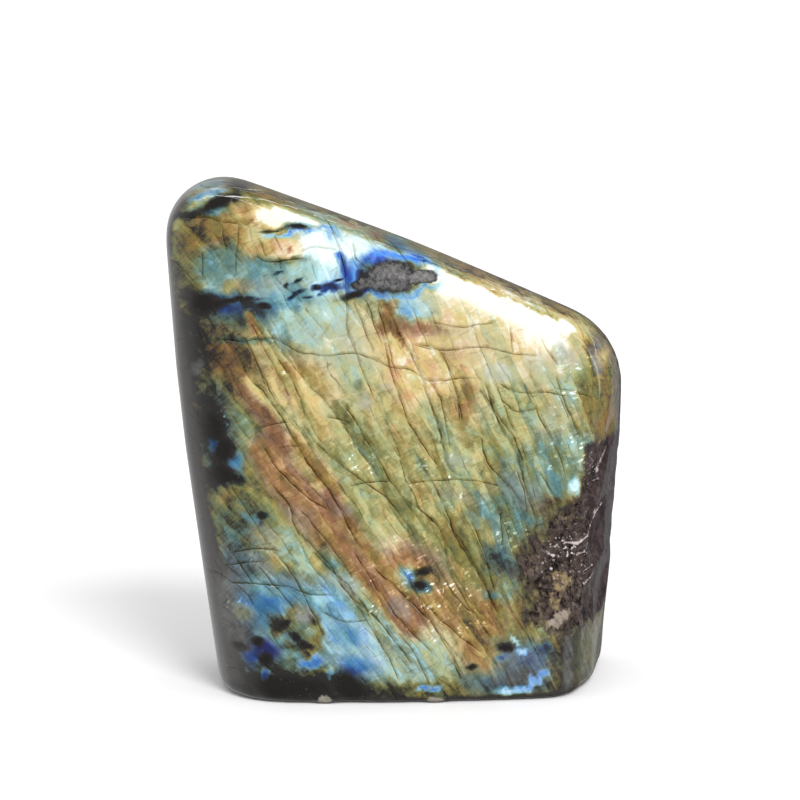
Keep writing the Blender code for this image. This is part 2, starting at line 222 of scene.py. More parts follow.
    ("teal foot of the hook", -19.3, 9.9, 2.1, 0.8, -10, 0.36, 0.56, 0.5),
    ("olive rim of the hook", -15.6, 10.6, 1.7, 1.9, 0, 0.62, 0.26, 0.6),
    ("navy by the hook", -24.2, 10, 3.4, 2.3, 0, 0.05, 0.26, 0.5),
    ("royal fleck", -27.1, 8.8, 1.7, 1.3, 0, 0.09, 0.34, 0.6),
    ("royal patch right", -15.6, 8.1, 2.9, 1.5, 0, 0.15, 0.62, 0.4),
    ("blue dot", -24.6, 5.7, 1.1, 1.1, 0, 0.16, 0.54, 0.5),
    ("olive notch", -14.5, 6, 3.8, 0.6, 6, 0.64, 0.36, 0.5),
    ("teal notch", -12, 5.6, 0.6, 1.3, 0, 0.35, 0.6, 0.5),
    ("blue of the star", 1.6, 23.8, 2.1, 2.1, 0, 0.18, 0.58, 0.5),
    ("teal of the star", 5.4, 21.9, 1.7, 1.1, 0, 0.38, 0.44, 0.5),
    ("deep teal by the break", 20.7, 26.8, 4.2, 2.1, -35, 0.36, 0.16, 0.8),
    ("grey blue by the break", 18.3, 20.9, 1.3, 0.8, 0, 0.3, 0.4, 0.6),
    ("electric crescent", 22.2, 1.9, 3.2, 1.1, -4, 0.25, 0.98, 0.4),
    ("electric arm", 26, 3.5, 2.3, 1, 50, 0.15, 0.92, 0.4),
    ("electric tip", 27.9, 5.6, 1.3, 0.7, 20, 0.12, 0.8, 0.4),
    ("electric shard", 24, 9.4, 1.1, 0.6, 0, 0.22, 0.98, 0.4),
    ("royal by the shard", 20.8, 8.5, 1.5, 0.6, 10, 0.12, 0.36, 0.6),
    ("white shard", 22.5, 11.5, 1.3, 0.4, -50, 0.36, 0.98, 0.4),
    ("dull blue by the break", 28.2, 9.9, 1.7, 1.1, 0, 0.12, 0.18, 0.7),
    ("blue at the foot", 6.3, 2.7, 2.5, 0.5, 0, 0.12, 0.72, 0.4),
    ("cyan chip", 33.3, 40.6, 1, 1.3, -10, 0.27, 1, 0.35),
    ("smoky edge", 32.4, 8.2, 2.5, 6.5, 0, 0.64, 0.1, 0.5),
    ("soft white", 31.8, 64.8, 3.8, 2.3, -14, 0.58, 0.8, 0.7),
)
STREAMS = (  # name, points, half width at the start and the end, order, glow, soft
    ("cream halo", ((9.4, 77.4), (15.7, 74.8), (23.2, 71.3), (30, 67.8)), 5, 4.6, 0.65, 0.99, 0.95),
    ("cream flash", ((7.9, 80.5), (14.3, 78), (21.7, 74.6), (28.1, 72), (33.4, 70.5)),
        2.3, 1.3, 0.58, 1.4, 0.95),
    ("cream horn", ((25.1, 72), (30.7, 67.4)), 1.7, 1, 0.58, 1.2, 0.9),
    ("cream flash neck", ((7.6, 81.7), (15.8, 78.3), (23.2, 74.8), (29.2, 71.9)), 1.3, 1.3, 0.6, 1.2, 0.7),
    ("gold above the flash", ((10.6, 81.3), (15.8, 79.2), (23.4, 75.8), (30.1, 72.8)),
        0.8, 0.8, 0.68, 0.5, 0.5),
    ("gold brown stripe", ((-27.3, 72.7), (-23.9, 66.8), (-19.5, 58.3)), 1, 1, 0.8, 0.42, 0.5),
    ("tan stripe", ((-23.9, 68.3), (-19.1, 59.8), (-13.6, 51.7)), 1.3, 1.5, 0.67, 0.54, 0.5),
    ("dusky stripe", ((-27.7, 59), (-24, 53.8), (-20.3, 48.6)), 1.3, 1.7, 0.86, 0.4, 0.5),
    ("yellow stripe", ((-27.4, 61.4), (-24.4, 58.3), (-21.2, 54.8)), 1.1, 1.1, 0.64, 0.7, 0.7),
    ("yellow stripe foot", ((-20.5, 53.9), (-18.2, 51.2), (-16.4, 48.7)), 1.1, 0.8, 0.62, 0.78, 0.6),
    ("grey tan stripe", ((-18.4, 50.1), (-14.4, 44.9), (-11.4, 40.5)), 1.9, 1.7, 0.74, 0.5, 0.5),
    ("copper band", ((-24.8, 48.2), (-21.1, 43.2), (-16.6, 37.4), (-11.4, 31.1), (-6.6, 25.2), (-1.7, 20.1),
        (2.4, 16.2)), 2.9, 3.8, 0.84, 0.47, 0.45),
    ("copper heart", ((-23.3, 46), (-19.2, 41.5), (-14, 36.3), (-9.9, 31.1), (-6.2, 26.5)),
        2.3, 1.9, 0.87, 0.6, 0.7),
    ("dusky rose", ((-12.9, 40.1), (-9.9, 36.7), (-8, 33.3)), 1.1, 1.3, 0.93, 0.5, 0.7),
    ("dark head of the fall", ((-2.1, 75.7), (-0.6, 72), (1.3, 68.3)), 0.6, 0.5, 0.84, 0.26, 0.8),
    ("brown olive edge", ((-9.4, 35.2), (-4.3, 28.4), (0.9, 21.9)), 1.3, 1.7, 0.74, 0.46, 0.7),
    ("ring of the hook", ((-22.1, 14.3), (-20.4, 16.8), (-17.8, 17.9), (-15.2, 16.7), (-14.1, 14),
        (-14.5, 11.3), (-16.5, 9.6)), 1, 0.8, 0.66, 0.22, 0.8),
    ("pale stripe", ((-12.9, 28.4), (-9.2, 23.1), (-4, 16.7), (1.6, 10.1)), 1.3, 1.7, 0.46, 0.66, 0.6),
    ("deep blue line", ((-10, 84.2), (-9.3, 80.4), (-8.7, 77.3)), 0.6, 0.6, 0.1, 0.62, 0.7),
    ("cyan beside the line", ((-8, 83.1), (-7.6, 79)), 0.6, 0.6, 0.22, 0.84, 0.8),
    ("azure under the core", ((-5.4, 77.4), (-2.1, 76.4)), 0.5, 0.4, 0.12, 0.7, 0.8),
    ("pale azure under the core", ((-1.3, 76.3), (3.2, 77.3), (7.4, 78.6)), 0.5, 0.5, 0.2, 0.66, 1),
    ("azure over the core", ((-3.5, 83.8), (1.6, 84.6), (5.7, 83.3), (8.1, 81.7)), 0.6, 0.6, 0.12, 0.84, 0.8),
    ("cyan round the core's end", ((7.8, 81.4), (8.7, 79.6), (7.8, 77.8)), 0.5, 0.5, 0.27, 1, 0.8),
    ("azure under the sliver", ((-24.2, 88.3), (-19.4, 88.7), (-14.3, 89.1), (-11.9, 89.8)),
        0.3, 0.4, 0.17, 0.82, 0.7),
    ("teal seam", ((-35.3, 68.9), (-28.2, 68.4), (-23.2, 68.7)), 0.6, 0.6, 0.44, 0.2, 0.6),
)
RIM_SPOTS = (  # the bevels and walls, where the flash has faded, in the same columns as SPOTS
    ("blue grey crown", -34.8, 96.6, 4.2, 1.5, 22, 0.24, 0.42, 0.5),
    ("dark crown spot", -28.2, 96.1, 1.7, 1.1, -20, 0.5, 0.02, 0.5),
    ("brown band", -19.5, 92.9, 8.4, 1.7, -20, 0.66, 0.4, 0.5),
    ("green grey band", -10.2, 89.3, 7.6, 1.7, -22, 0.46, 0.66, 0.6),
    ("brown end of the band", 33, 71.8, 4.2, 0.8, -30, 0.74, 0.4, 0.6),
    ("rust in the band", -8.5, 89.2, 2.1, 0.3, -20, 0.86, 0.46, 0.7),
    ("rust in the band", -2.7, 86.8, 1.7, 0.3, -20, 0.86, 0.46, 0.7),
    ("teal in the band", 10.1, 81.3, 2.5, 0.8, -22, 0.4, 0.6, 0.5),
    ("gold band", 19.8, 77.6, 12.6, 3, -25, 0.68, 0.58, 0.7),
    ("gold veins", 22.6, 76.2, 4.2, 1.1, -25, 0.68, 0.82, 0.6),
    ("cream foot of the band", 24.8, 74.5, 8.4, 0.9, -26, 0.64, 0.92, 0.8),
    ("gold corner", 34, 70.1, 3.8, 1.7, -32, 0.67, 0.8, 0.6),
    ("tan right wall", 39.9, 59.3, 2.3, 7.6, 0, 0.66, 0.34, 0.7),
    ("tan by the break", 39.6, 51.4, 2.3, 3.4, 0, 0.72, 0.42, 0.7),
    ("black left wall", -39.8, 67.1, 2.3, 8.8, 3, 0.6, -0.1, 0.7),
    ("olive left wall", -40.7, 82.6, 1.7, 8.4, 0, 0.56, 0.1, 0.7),
    ("blue in the band", 0.2, 85.7, 2.7, 0.5, -22, 0.22, 0.34, 0.7),
    ("royal over the core", 4.6, 83.2, 3.4, 0.7, -24, 0.1, 0.6, 0.6),
    ("smoky left foot", -32, 7, 3, 7.6, 6, 0.6, -0.02, 0.7),
    ("tan sparkles", 38.9, 64.3, 1.5, 1.5, 0, 0.72, 0.7, 0.6),
    ("olive corner", 38.4, 5.9, 4.6, 8.8, 0, 0.56, 0.26, 0.5),
)
CROWN_SPOTS = (  # the top behind its crest, seen from above: the second number is y there
    ("crown field", 0, 10, 70, 20, 0, 0.62, 0.22, 0.5),
    ("crown gold band", 19, -2, 22, 5, 0, 0.69, 0.56, 0.8),
    ("crown green band", -9, -2, 9, 5, 0, 0.5, 0.5, 0.8),
    ("crown olive", -14, 9, 15, 6, 14, 0.6, 0.4, 0.8),
    ("crown teal", -2, 8, 11, 3.4, -24, 0.4, 0.4, 0.8),
    ("crown gold", 15, 8, 13, 5, 18, 0.7, 0.46, 0.8),
    ("crown blue", 6, 13, 6, 2.2, 26, 0.18, 0.46, 0.8),
    ("crown rust", -27, 7, 8, 3, -18, 0.86, 0.36, 0.8),
    ("crown grey", 31, 9, 8, 6, 0, 0.56, 0.1, 0.8),
)
BACK_SPOTS = (  # the far side, seen from behind: x there runs the other way
    ("back grey green", 0, 46, 40, 44, 0, 0.52, 0.2, 0.5),
    ("back gold field", 12, 66, 17, 10, -35, 0.7, 0.42, 0.5),
    ("back olive field", -8, 50, 20, 9, -50, 0.58, 0.44, 0.5),
    ("back blue field", -16, 26, 13, 7, -30, 0.2, 0.46, 0.4),
    ("back teal rim", -3, 32, 10, 6, -40, 0.38, 0.5, 0.5),
    ("back copper seam", 20, 34, 15, 3.4, -55, 0.88, 0.42, 0.4),
    ("back royal fleck", 27, 14, 5, 3, 10, 0.1, 0.5, 0.4),
    ("back dark field", -28, 60, 8, 12, 20, 0.4, 0.06, 0.5),
)
# Dark inclusions, nearly black: name, x, z, half width, half height, turn.
INKS = (
    ("under the ridge", -33, 93.5, 4, 1.1, 22), ("ridge tail", -38.4, 91.6, 2.3, 0.6, 16),
    ("under the gold", -17.6, 89.6, 2.5, 0.5, -2), ("under the gold tail", -22.2, 89.1, 2.7, 0.3, 10),
    ("left blob", -35.6, 75.2, 2.1, 1.9, 0), ("seam", -29.1, 76, 3.8, 0.3, 6),
    ("seam root", -33, 75, 1.5, 0.6, 0), ("pit", -24.1, 80.4, 0.5, 0.2, 10), ("pit", -21.7, 81, 0.8, 0.3, 8),
    ("pit", -20.2, 78.8, 0.6, 0.4, 0), ("pit", -18, 79.6, 0.9, 0.3, 22), ("pit", -17.4, 77.8, 1, 0.3, 15),
    ("pit", -14.6, 78.3, 0.8, 0.5, 20), ("pit", -12, 79, 1.1, 0.2, 4), ("pit", -10.4, 79.8, 0.8, 0.2, 15),
    ("pit", -24.3, 75.1, 1, 0.5, 5), ("pit", -19.2, 76.6, 1.1, 0.3, 15), ("pit", -16.1, 76.6, 1, 0.3, 10),
    ("pit", -13.7, 76.9, 0.6, 0.3, 0), ("bar", -7.6, 77, 2.3, 0.6, 17),
    ("left dark", -34.1, 51.8, 2.1, 2.7, 0), ("left dark low", -32.3, 43.2, 2.5, 1.7, 0),
    ("left dark mid", -32.2, 48.1, 1.7, 2.1, 0), ("left dark arm", -29.7, 42.9, 1.7, 1, -30),
    ("hook top", -20.8, 15.7, 1, 0.6, 30), ("hook", -18.8, 13.1, 1, 0.6, -50),
    ("hook foot", -16.9, 11.5, 1.4, 0.6, -20), ("foot speck", -29.6, 10.6, 1.5, 0.9, 0),
    ("foot speck", -25.7, 11.9, 1, 0.7, 0), ("foot speck", -24.2, 8.5, 1, 1, 0),
    ("dark foot", -20.5, 3.2, 8.4, 2.1, 0), ("dark foot left", -29.3, 1.8, 4.2, 1.5, 0),
    ("dark foot right", -8.5, 3.7, 3.2, 2.3, -35), ("star", 4.9, 25.1, 1.7, 0.8, 12),
    ("star", 4.6, 22.6, 1.7, 0.9, -15), ("dark dot", -24.8, 36, 0.9, 0.6, 10),
    ("foot dot", 14.4, 7, 1, 0.5, 10), ("shard shade", 20.8, 10.4, 1.7, 0.8, -10),
)
# The next three are name, x, z, half width, half height, turn and share. Grey speckled inclusions:
SPECKLES = (
    ("core of the inclusion", -0.8, 80.3, 6.1, 3.4, 2, 0.86),
    ("left tip of the core", -5.4, 79, 3.6, 1.3, 6, 0.8),
    ("right tip of the core", 4.8, 80.2, 3.6, 1.5, 4, 1),
)
# Milky silver light from countless thin plates:
HAZES = (
    ("crown", -34.4, 96.6, 5, 1.5, 20, 0.5), ("milk in the shoulder", -24.6, 79, 5.7, 1.7, 6, 0.45),
    ("silver spot", -1.7, 60.2, 1.3, 0.8, 0, 0.5), ("lilac spot", -5.2, 57.2, 1.7, 1.1, 0, 0.8),
    ("mint milk", -12.1, 67.8, 5.7, 3.4, -20, 0.4), ("sage milk", 19.5, 62.3, 3.4, 1.9, -10, 0.8),
    ("sage milk right", 27, 62.3, 4.6, 3.8, -30, 0.45), ("soft white", 31.8, 64.9, 3.4, 2.3, -14, 0.7),
    ("grey slab", 37.9, 64.5, 1.3, 3.4, 10, 0.7), ("right milk", 30, 53.6, 3.8, 4.6, -40, 0.45),
    ("mint plate", 11.7, 45.9, 2.7, 1.5, -20, 0.5), ("milk level", 9.8, 40.3, 4.2, 1.5, -20, 0.4),
    ("grey rose", -9.5, 36.7, 1.5, 1.7, -40, 0.35), ("pale foot milk", -9.4, 22.8, 3, 1.9, -50, 0.7),
    ("cyan milk", 0.8, 9.5, 7.6, 4.2, -20, 0.3), ("lilac sparks", -16.9, 17.1, 1.5, 1.9, 0, 0.8),
    ("smoky corner", 23.5, 6.5, 6.5, 4.2, 0, 0.35), ("olive corner", 38.4, 5.9, 3.4, 8, 0, 0.5),
    # The corner sheen is a painted reflection, a grey streak down the rounded corner of the base.
    ("corner sheen", 32.4, 7, 1, 5.7, 0, 0.35), ("slate milk", -29.9, 19.6, 3.4, 9.5, 4, 0.3),
    ("blue band milk", -17.8, 22.3, 8.4, 1.9, -4, 0.15), ("grey foot", -25.6, 27.2, 3.4, 1.7, -30, 0.5),
    ("left grey", -23.7, 31.4, 3.8, 2.7, -30, 0.45), ("rose milk", 0.9, 18.1, 3, 1.9, -40, 0.6),
    ("left mouth", -36.7, 63.2, 1.1, 1.7, -50, 0.3), ("band milk", -8.4, 87.7, 6.5, 1.1, -20, 0.3),
    ("teal milk", 24.1, 40.3, 4.6, 2.7, -30, 0.45), ("honey milk", 13.9, 67.6, 7.6, 4.2, -10, 0.3),
    ("core milk", -17.7, 35.2, 3.8, 2.7, -60, 0.25),
)
# Small flat cleavage faces that flash by themselves:
GLINTS = (
    ("right crinkle", 33.8, 58.8, 3.2, 7.2, -30, 0.9), ("right crinkle low", 31.2, 47.6, 5.7, 4.2, 0, 0.6),
    ("mid sparks", -4.7, 46.1, 6.5, 3, -30, 0.7), ("centre sparks", 8.4, 42.6, 8.8, 6.5, -30, 0.45),
    ("foot sparks", 8.4, 19.9, 9.9, 8.4, -40, 0.8), ("star sparks", 2.4, 31.4, 3.4, 2.3, 0, 1),
    ("pale foot sparks", -24.9, 28.3, 2.7, 3.4, -50, 0.7), ("green crinkle", 21.9, 32.9, 4.6, 4.2, -30, 0.5),
    ("right crinkle top", 32.6, 63.3, 2.7, 3, 0, 0.6), ("break sparks", 32.1, 26.7, 5, 5.7, 0, 0.9),
    ("break upper sparks", 37.3, 45, 1.5, 3, 0, 0.6), ("foot chips", -4.3, 18.6, 3, 2.3, -30, 0.8),
    ("stripe sparks", -20.6, 63.5, 1.5, 2.3, -50, 0.8), ("left sparks", -32.2, 54.1, 3.8, 2.7, -40, 0.6),
    ("shoulder sparks", -25.9, 91.1, 2.7, 1.9, 0, 0.6), ("top band sparks", 22.5, 76.3, 7.6, 1.5, -25, 0.8),
    ("wall sparks", 39.1, 63.6, 1.9, 3, 0, 0.9), ("hook sparks", -16.3, 16.3, 1.9, 1.9, 0, 0.7),
    ("copper sparks", -5.4, 25.4, 2.3, 3.8, -55, 0.9), ("left foot sparks", -30.3, 19.1, 3, 2.3, 0, 0.6),
)
# Painted highlights: thin near-white lines along the ridges, standing in for the strip lights mirrored in the
# crease, with fine scratches in them.
HIGHLIGHT_SCRATCHES = (  # name, width, points (x, z) and strength, along the ridges
    ("upper arc", 0.23, ((-34.8, 95.8), (-32.1, 96.3), (-27, 95.8), (-19.4, 93.3)), 0.8),
    ("ridge", 0.23, ((-33.9, 95.1), (-29.6, 94.9), (-24.7, 94.2), (-18.9, 92.6), (-12.1, 90.1),
        (-5.6, 87.4), (0.9, 84.7)), 0.9),
    ("ridge end", 0.23, ((0.9, 84.7), (8.3, 81.6), (15.8, 78.5), (25.1, 74.5), (35.8, 69.6)), 0.45),
    ("band scratch", 0.17, ((-17.7, 92.4), (-10.3, 89.8), (-4.4, 87.6)), 0.6),
    ("band scratch 2", 0.15, ((-12.2, 90.6), (-7.4, 88.8), (1.3, 85.5)), 0.5),
    ("corner scratch", 0.19, ((35.8, 69.6), (37.2, 67.3), (37.7, 64.8)), 0.6),
    ("band scratch 3", 0.15, ((4.6, 83.9), (14.1, 80), (23.5, 75.9)), 0.4),
)
BACK_INKS = (
    ("back seam", -12, 70, 14, 1.6, -12), ("back blot", 26, 50, 5, 3.4, 30),
    ("back blot low", 4, 14, 7, 2.4, 5), ("back pit", -20, 40, 1.6, 1.2, 0), ("back pit", 8, 58, 1.4, 1, 0),
    ("back pit", 14, 76, 2.2, 1, 20),
)
# Healed cracks under the polish: name, full width, and the points that the crack runs through.
CRACKS = (
    ("top arc", 0.25, ((-34.4, 68.7), (-28.2, 68.4), (-23.2, 68.9), (-20.2, 67.7), (-17.5, 66.4),
        (-12.6, 65.8), (-7.1, 66.2), (-0.8, 63.7), (2.8, 63.1), (6.3, 61), (13.7, 61.5), (17.4, 60.7))),
    ("long drop", 0.25, ((-12.3, 90), (-11.1, 87.4), (-9.6, 82.8), (-9.1, 77.4), (-8.7, 69.8), (-7.1, 65.9),
        (-5.2, 60.9), (-3, 56.3))),
    ("fan 1", 0.23, ((-7.8, 76.1), (-3.9, 66))), ("fan 2", 0.23, ((-5.6, 76.5), (-2.3, 67.2))),
    ("fan 3", 0.23, ((-3.5, 76.1), (-0.4, 64.6), (0.5, 61.3))),
    ("main fall", 0.5, ((-1.7, 75.9), (1.1, 69.3), (4.1, 63.7), (5.9, 58.4), (8.3, 51.9), (9.5, 46.3),
        (11.2, 43.6), (13.9, 43.4))),
    ("fall twin", 0.3, ((-2.8, 71.5), (-1, 64.1), (1.8, 55.4), (5.6, 48.3), (9.8, 43.3))),
    ("left line", 0.3, ((-26.3, 72), (-23.8, 68.5), (-18, 59.2), (-16.7, 53.9))),
    ("left line 2", 0.23, ((-26.9, 71.9), (-24.6, 67.7), (-20.8, 60.3), (-19.1, 57.6))),
    ("left line 3", 0.23, ((-28.2, 69.5), (-22.3, 57.6))),
    ("band edge", 0.46, ((-27.5, 61.8), (-24.7, 59.4), (-20.8, 53.9), (-17.7, 48.3), (-14.4, 43.4),
        (-11.8, 40.1), (-9.9, 36.7), (-8, 32.6), (-5.3, 28.4))),
    ("band foot", 0.34, ((-23.7, 42.6), (-19.8, 38), (-18.3, 33.3), (-12.4, 27), (-8.8, 21.2), (-2.7, 15.7),
        (4.7, 5.5))),
    ("right fall", 0.46, ((16.5, 61.3), (19.3, 53), (22.9, 46.6), (25.1, 38.2), (26.9, 33.8))),
    ("right twin", 0.3, ((15.8, 59.2), (17.6, 56.4), (19.9, 53.5), (22.3, 49.7), (24.2, 45))),
    ("lower fall", 0.38, ((3.3, 48.7), (8.7, 38.6), (11.2, 32.2), (14.4, 26.6), (18.3, 19.2), (20.8, 12))),
    ("lower twin", 0.3, ((0.9, 39.8), (8, 33.9), (9.9, 26), (12.7, 20.5), (16.7, 14.2), (19.1, 11.3))),
    ("lower right", 0.3, ((15.8, 51), (17.3, 45.6), (20.5, 41.9), (24.4, 36.7))),
    ("level 1", 0.21, ((2.8, 67.8), (9.4, 66.7), (16.3, 67.1), (21.4, 65.9), (27.5, 65.1))),
    ("level 2", 0.19, ((6.5, 71.9), (12, 70.9), (19.5, 71.9))),
    ("level 3", 0.23, ((1.8, 41.9), (6.9, 42.4), (13.8, 42.4), (20.5, 41.2))),
    ("hook line", 0.27, ((4.1, 68.1), (8.3, 66.6), (10.2, 62.3), (11.7, 57.1), (11.9, 52.9))),
    ("foot level", 0.23, ((-31.4, 23.1), (-21.5, 22.8), (-15.9, 21.2), (-10.3, 21))),
    ("drop 2", 0.19, ((21.3, 71), (22, 66))), ("drop 3", 0.23, ((27.1, 68.7), (28.5, 66), (30.7, 63))),
    ("blue line", 0.27, ((-31.3, 29.9), (-26.2, 22.2))),
    ("blue line 2", 0.23, ((-25.6, 26.4), (-18.4, 17.8))),
    ("blue line 3", 0.23, ((-21.1, 27.6), (-17.8, 22.3), (-13, 12.5))),
    ("foot fall 1", 0.27, ((-8.4, 20.8), (-4.3, 14.4), (-0.6, 7.8), (0.9, 4))),
    ("foot fall 2", 0.25, ((0.5, 13.9), (4.3, 8.5), (6.5, 3.1))),
    ("foot fall 3", 0.23, ((6.5, 16.1), (9.9, 10.4), (12.6, 4.2))),
    ("mid fall", 0.3, ((-10.2, 57.6), (-6.9, 52.9), (-2.1, 44.5), (1.3, 39.3), (4.6, 35.1))),
    ("mid fall 2", 0.25, ((-17.7, 54.2), (-14.3, 49.2), (-8.4, 44.2), (-1.3, 38.9), (4.6, 30.4))),
    ("right fall 2", 0.25, ((29.8, 61.7), (31.9, 56), (34.6, 49.4))),
    ("right fall 3", 0.23, ((23.2, 60.9), (26.3, 55.3), (30.1, 47.7), (32, 42))),
    ("rust line", 0.3, ((-40.3, 90.7), (-35.2, 91.2), (-32, 90.4), (-27.4, 89.9), (-25.7, 91.8))),
    ("shoulder drop", 0.23, ((-28.7, 90.3), (-29.3, 86.1), (-29.7, 80))),
    ("shoulder drop 2", 0.23, ((-32, 88.8), (-31.3, 84.8))),
    ("shoulder drop 3", 0.23, ((-35.8, 85.1), (-35.6, 80))),
    ("teal level", 0.34, ((-25.9, 84.2), (-23.1, 83), (-16.5, 83.8))),
    ("slab edge", 0.23, ((-25.4, 87.4), (-23.7, 83.8))),
    ("slab edge 2", 0.23, ((-22.4, 87.8), (-20.9, 84.9))), ("flare drop", 0.21, ((-8, 86.7), (-7.2, 83.1))),
    ("flare level", 0.21, ((-17.6, 84.9), (-14.3, 85.8), (-10.2, 84.9))),
    ("brown level", 0.27, ((19.1, 60.3), (23.2, 58.5), (27.9, 58.5), (33, 57.5))),
    ("faint drop", 0.23, ((19.5, 57.7), (22.5, 55), (27, 55.6))),
    ("patch head", 0.25, ((6.1, 61.2), (8.3, 58.2), (9.5, 52.8), (10.2, 48.1))),
    ("short level 1", 0.25, ((-25.5, 52.3), (-22.1, 53.1), (-19.5, 53.6))),
    ("short level 2", 0.21, ((-21.8, 48.6), (-17.7, 49))),
    ("short level 3", 0.25, ((-8.4, 41.6), (-4.3, 42.3), (-0.6, 42.4))),
    ("short level 4", 0.25, ((-12.8, 54.3), (-9.3, 53.7), (-8, 52.8))),
    ("copper line", 0.29, ((-24.8, 49), (-20.7, 43.4), (-15.5, 38.9), (-11.4, 36.7))),
    ("copper line 2", 0.25, ((-17.7, 37.1), (-12.2, 30.5), (-7.3, 23.1))),
    ("copper line 3", 0.3, ((-8.1, 29.9), (-4, 23.1), (1.3, 15.8), (8.4, 8.5))),
    ("copper line 4", 0.27, ((-4.3, 26.5), (0.9, 21.5), (6.5, 16.1))),
    ("grey level", 0.23, ((-32.5, 25.9), (-28.1, 27), (-24.9, 27.4))),
    ("grey level 2", 0.21, ((-30.5, 28.7), (-24.9, 29.8), (-20.8, 29.1))),
    ("cyan level", 0.21, ((-13.7, 17.8), (-9.2, 15.9), (-4.7, 16.3))),
    ("right low 1", 0.27, ((9.1, 35.8), (14, 28.1), (16.6, 21.6))),
    ("right low 2", 0.25, ((14, 35.3), (16.8, 28.1), (18.9, 20.4))),
    ("right low 3", 0.23, ((19.6, 36.3), (20, 29.5))),
    ("brown low 1", 0.27, ((4.3, 20.7), (9.9, 14.9), (17.1, 9))),
    ("brown low 2", 0.23, ((7.3, 27.5), (10.6, 21.4), (15.1, 16.7))),
    ("teal fall", 0.23, ((26.7, 44), (29.3, 39.8), (30.9, 37.1))),
    ("teal fall 2", 0.23, ((22.6, 44.1), (24.1, 40.3), (24.5, 36.2))),
    ("right level", 0.19, ((30, 59.2), (33, 58.4), (36.8, 57.2))),
    ("band crack 1", 0.38, ((12.5, 80.6), (17.1, 78.7), (22, 76.6), (26.6, 74.6))),
    ("band crack 2", 0.34, ((7.6, 82.6), (11.4, 81.1), (15.2, 79.6))),
    ("band crack 3", 0.42, ((19.4, 77.8), (21.9, 76.5), (27, 73.9))),
    ("band crack 4", 0.25, ((-18.5, 92.8), (-12.3, 90.6), (-5.9, 88.3), (-1.1, 86.4))),
    ("band crack 5", 0.38, ((27.3, 74.3), (31.3, 72.4), (34.7, 70.6))),
    ("band crack 6", 0.19, ((-24.8, 95), (-20.8, 93.7), (-17.1, 92.3))),
    ("dark fall", 0.42, ((15.4, 59.6), (17.6, 57), (19, 53.9), (20.5, 51.4))),
    ("patch side", 0.25, ((11.1, 60.4), (11.9, 57.1), (12.4, 53.3))),
)
BACK_CRACKS = (
    ("back fall", 0.4, ((-22, 84), (-14, 66), (-4, 48), (8, 28), (18, 8))),
    ("back fall left", 0.3, ((-34, 72), (-26, 54), (-15, 36), (-8, 18))),
    ("back fall right", 0.3, ((4, 86), (12, 64), (24, 42), (32, 26))),
    ("back level", 0.25, ((-30, 46), (-12, 44), (10, 48), (30, 45))),
)
# The stripes fan out from a point far below the stone on the right.
FAN = (97, -126)
FAN_REACH = 200  # the distance from that point at which the stripes have their full width
GRAIN_DEPTH = (0.35, 0.2)  # how much the stripes shift with depth in the stone
CRACK_REACH = 1.1  # a crack is drawn within this of its line
CRACK_SETS = 6  # cracks nearer than CRACK_APART to each other go in different sets, held three by three
CRACK_APART = 2.3
LINE_STRAY = 0.28  # how far a fine line strays from its curve


def linear(hex_code):
    """An sRGB hex colour as the linear one that Blender's sockets take."""
    shades = [int(hex_code[i : i + 2], 16) / 255 for i in (1, 3, 5)]
    return (*[s / 12.92 if s <= 0.04045 else ((s + 0.055) / 1.055) ** 2.4 for s in shades], 1.0)


def smooth_step(low, high, value):
    """0 at low and before it, 1 at high and past it, smooth between. High may be the smaller of the two."""
    share = np.clip((value - low) / (high - low), 0.0, 1.0)
    return share * share * (3 - 2 * share)


# ---------------------------------------------------------------- shapes on the stone's face


def wander(places, size, seed, octaves=3):
    """Smooth noise from -1 to 1 in three directions at each place. Size is that of its largest lumps."""
    offset = Vector((seed * 17.3, seed * 5.1, seed * 9.7))
    lumps = [Vector(place) / size + offset for place in places]
    return np.array([noise.turbulence_vector(lump, octaves, False, amplitude_scale=0.5) for lump in lumps])


def ellipse_reach(x, z, centre_x, centre_z, half_x, half_z, turn):
    """How far out each point is in an ellipse: 0 at its centre and 1 on its rim."""
    c, s = math.cos(math.radians(turn)), math.sin(math.radians(turn))
    along = ((x - centre_x) * c + (z - centre_z) * s) / half_x
    across = (-(x - centre_x) * s + (z - centre_z) * c) / half_z
    return np.hypot(along, across)


def polygon_depth(x, z, outline):
    """How far each point is inside the outline, and less than zero outside it."""
    nearest = np.full(len(x), 1e9)
    inside = np.zeros(len(x), bool)
    for (ax, az), (bx, bz) in zip(outline, outline[1:] + outline[:1]):
        length = (bx - ax) ** 2 + (bz - az) ** 2
        share = np.clip(((x - ax) * (bx - ax) + (z - az) * (bz - az)) / length, 0, 1)
        nearest = np.minimum(nearest, np.hypot(x - ax - share * (bx - ax), z - az - share * (bz - az)))
        if az != bz:
            inside ^= ((az > z) != (bz > z)) & (x < ax + (z - az) * (bx - ax) / (bz - az))
    return np.where(inside, nearest, -nearest)


def line_distance(x, z, points):
    """The signed distance of each point from a line, and the nearest place's share of the line's length."""
    points = np.array(points, float)
    lengths = np.hypot(*np.diff(points, axis=0).T)
    starts = np.concatenate([[0], np.cumsum(lengths)])
    nearest, side, where = np.full(len(x), 1e9), np.ones(len(x)), np.zeros(len(x))
    for k, (a, b) in enumerate(zip(points[:-1], points[1:])):
        run = b - a
        share = np.clip(((x - a[0]) * run[0] + (z - a[1]) * run[1]) / (run @ run), 0, 1)
        away = np.hypot(x - a[0] - share * run[0], z - a[1] - share * run[1])
        closer = away < nearest
        nearest = np.where(closer, away, nearest)
        side = np.where(closer, np.sign(run[0] * (z - a[1]) - run[1] * (x - a[0])), side)
        where = np.where(closer, (starts[k] + share * lengths[k]) / starts[-1], where)
    return nearest * side, where


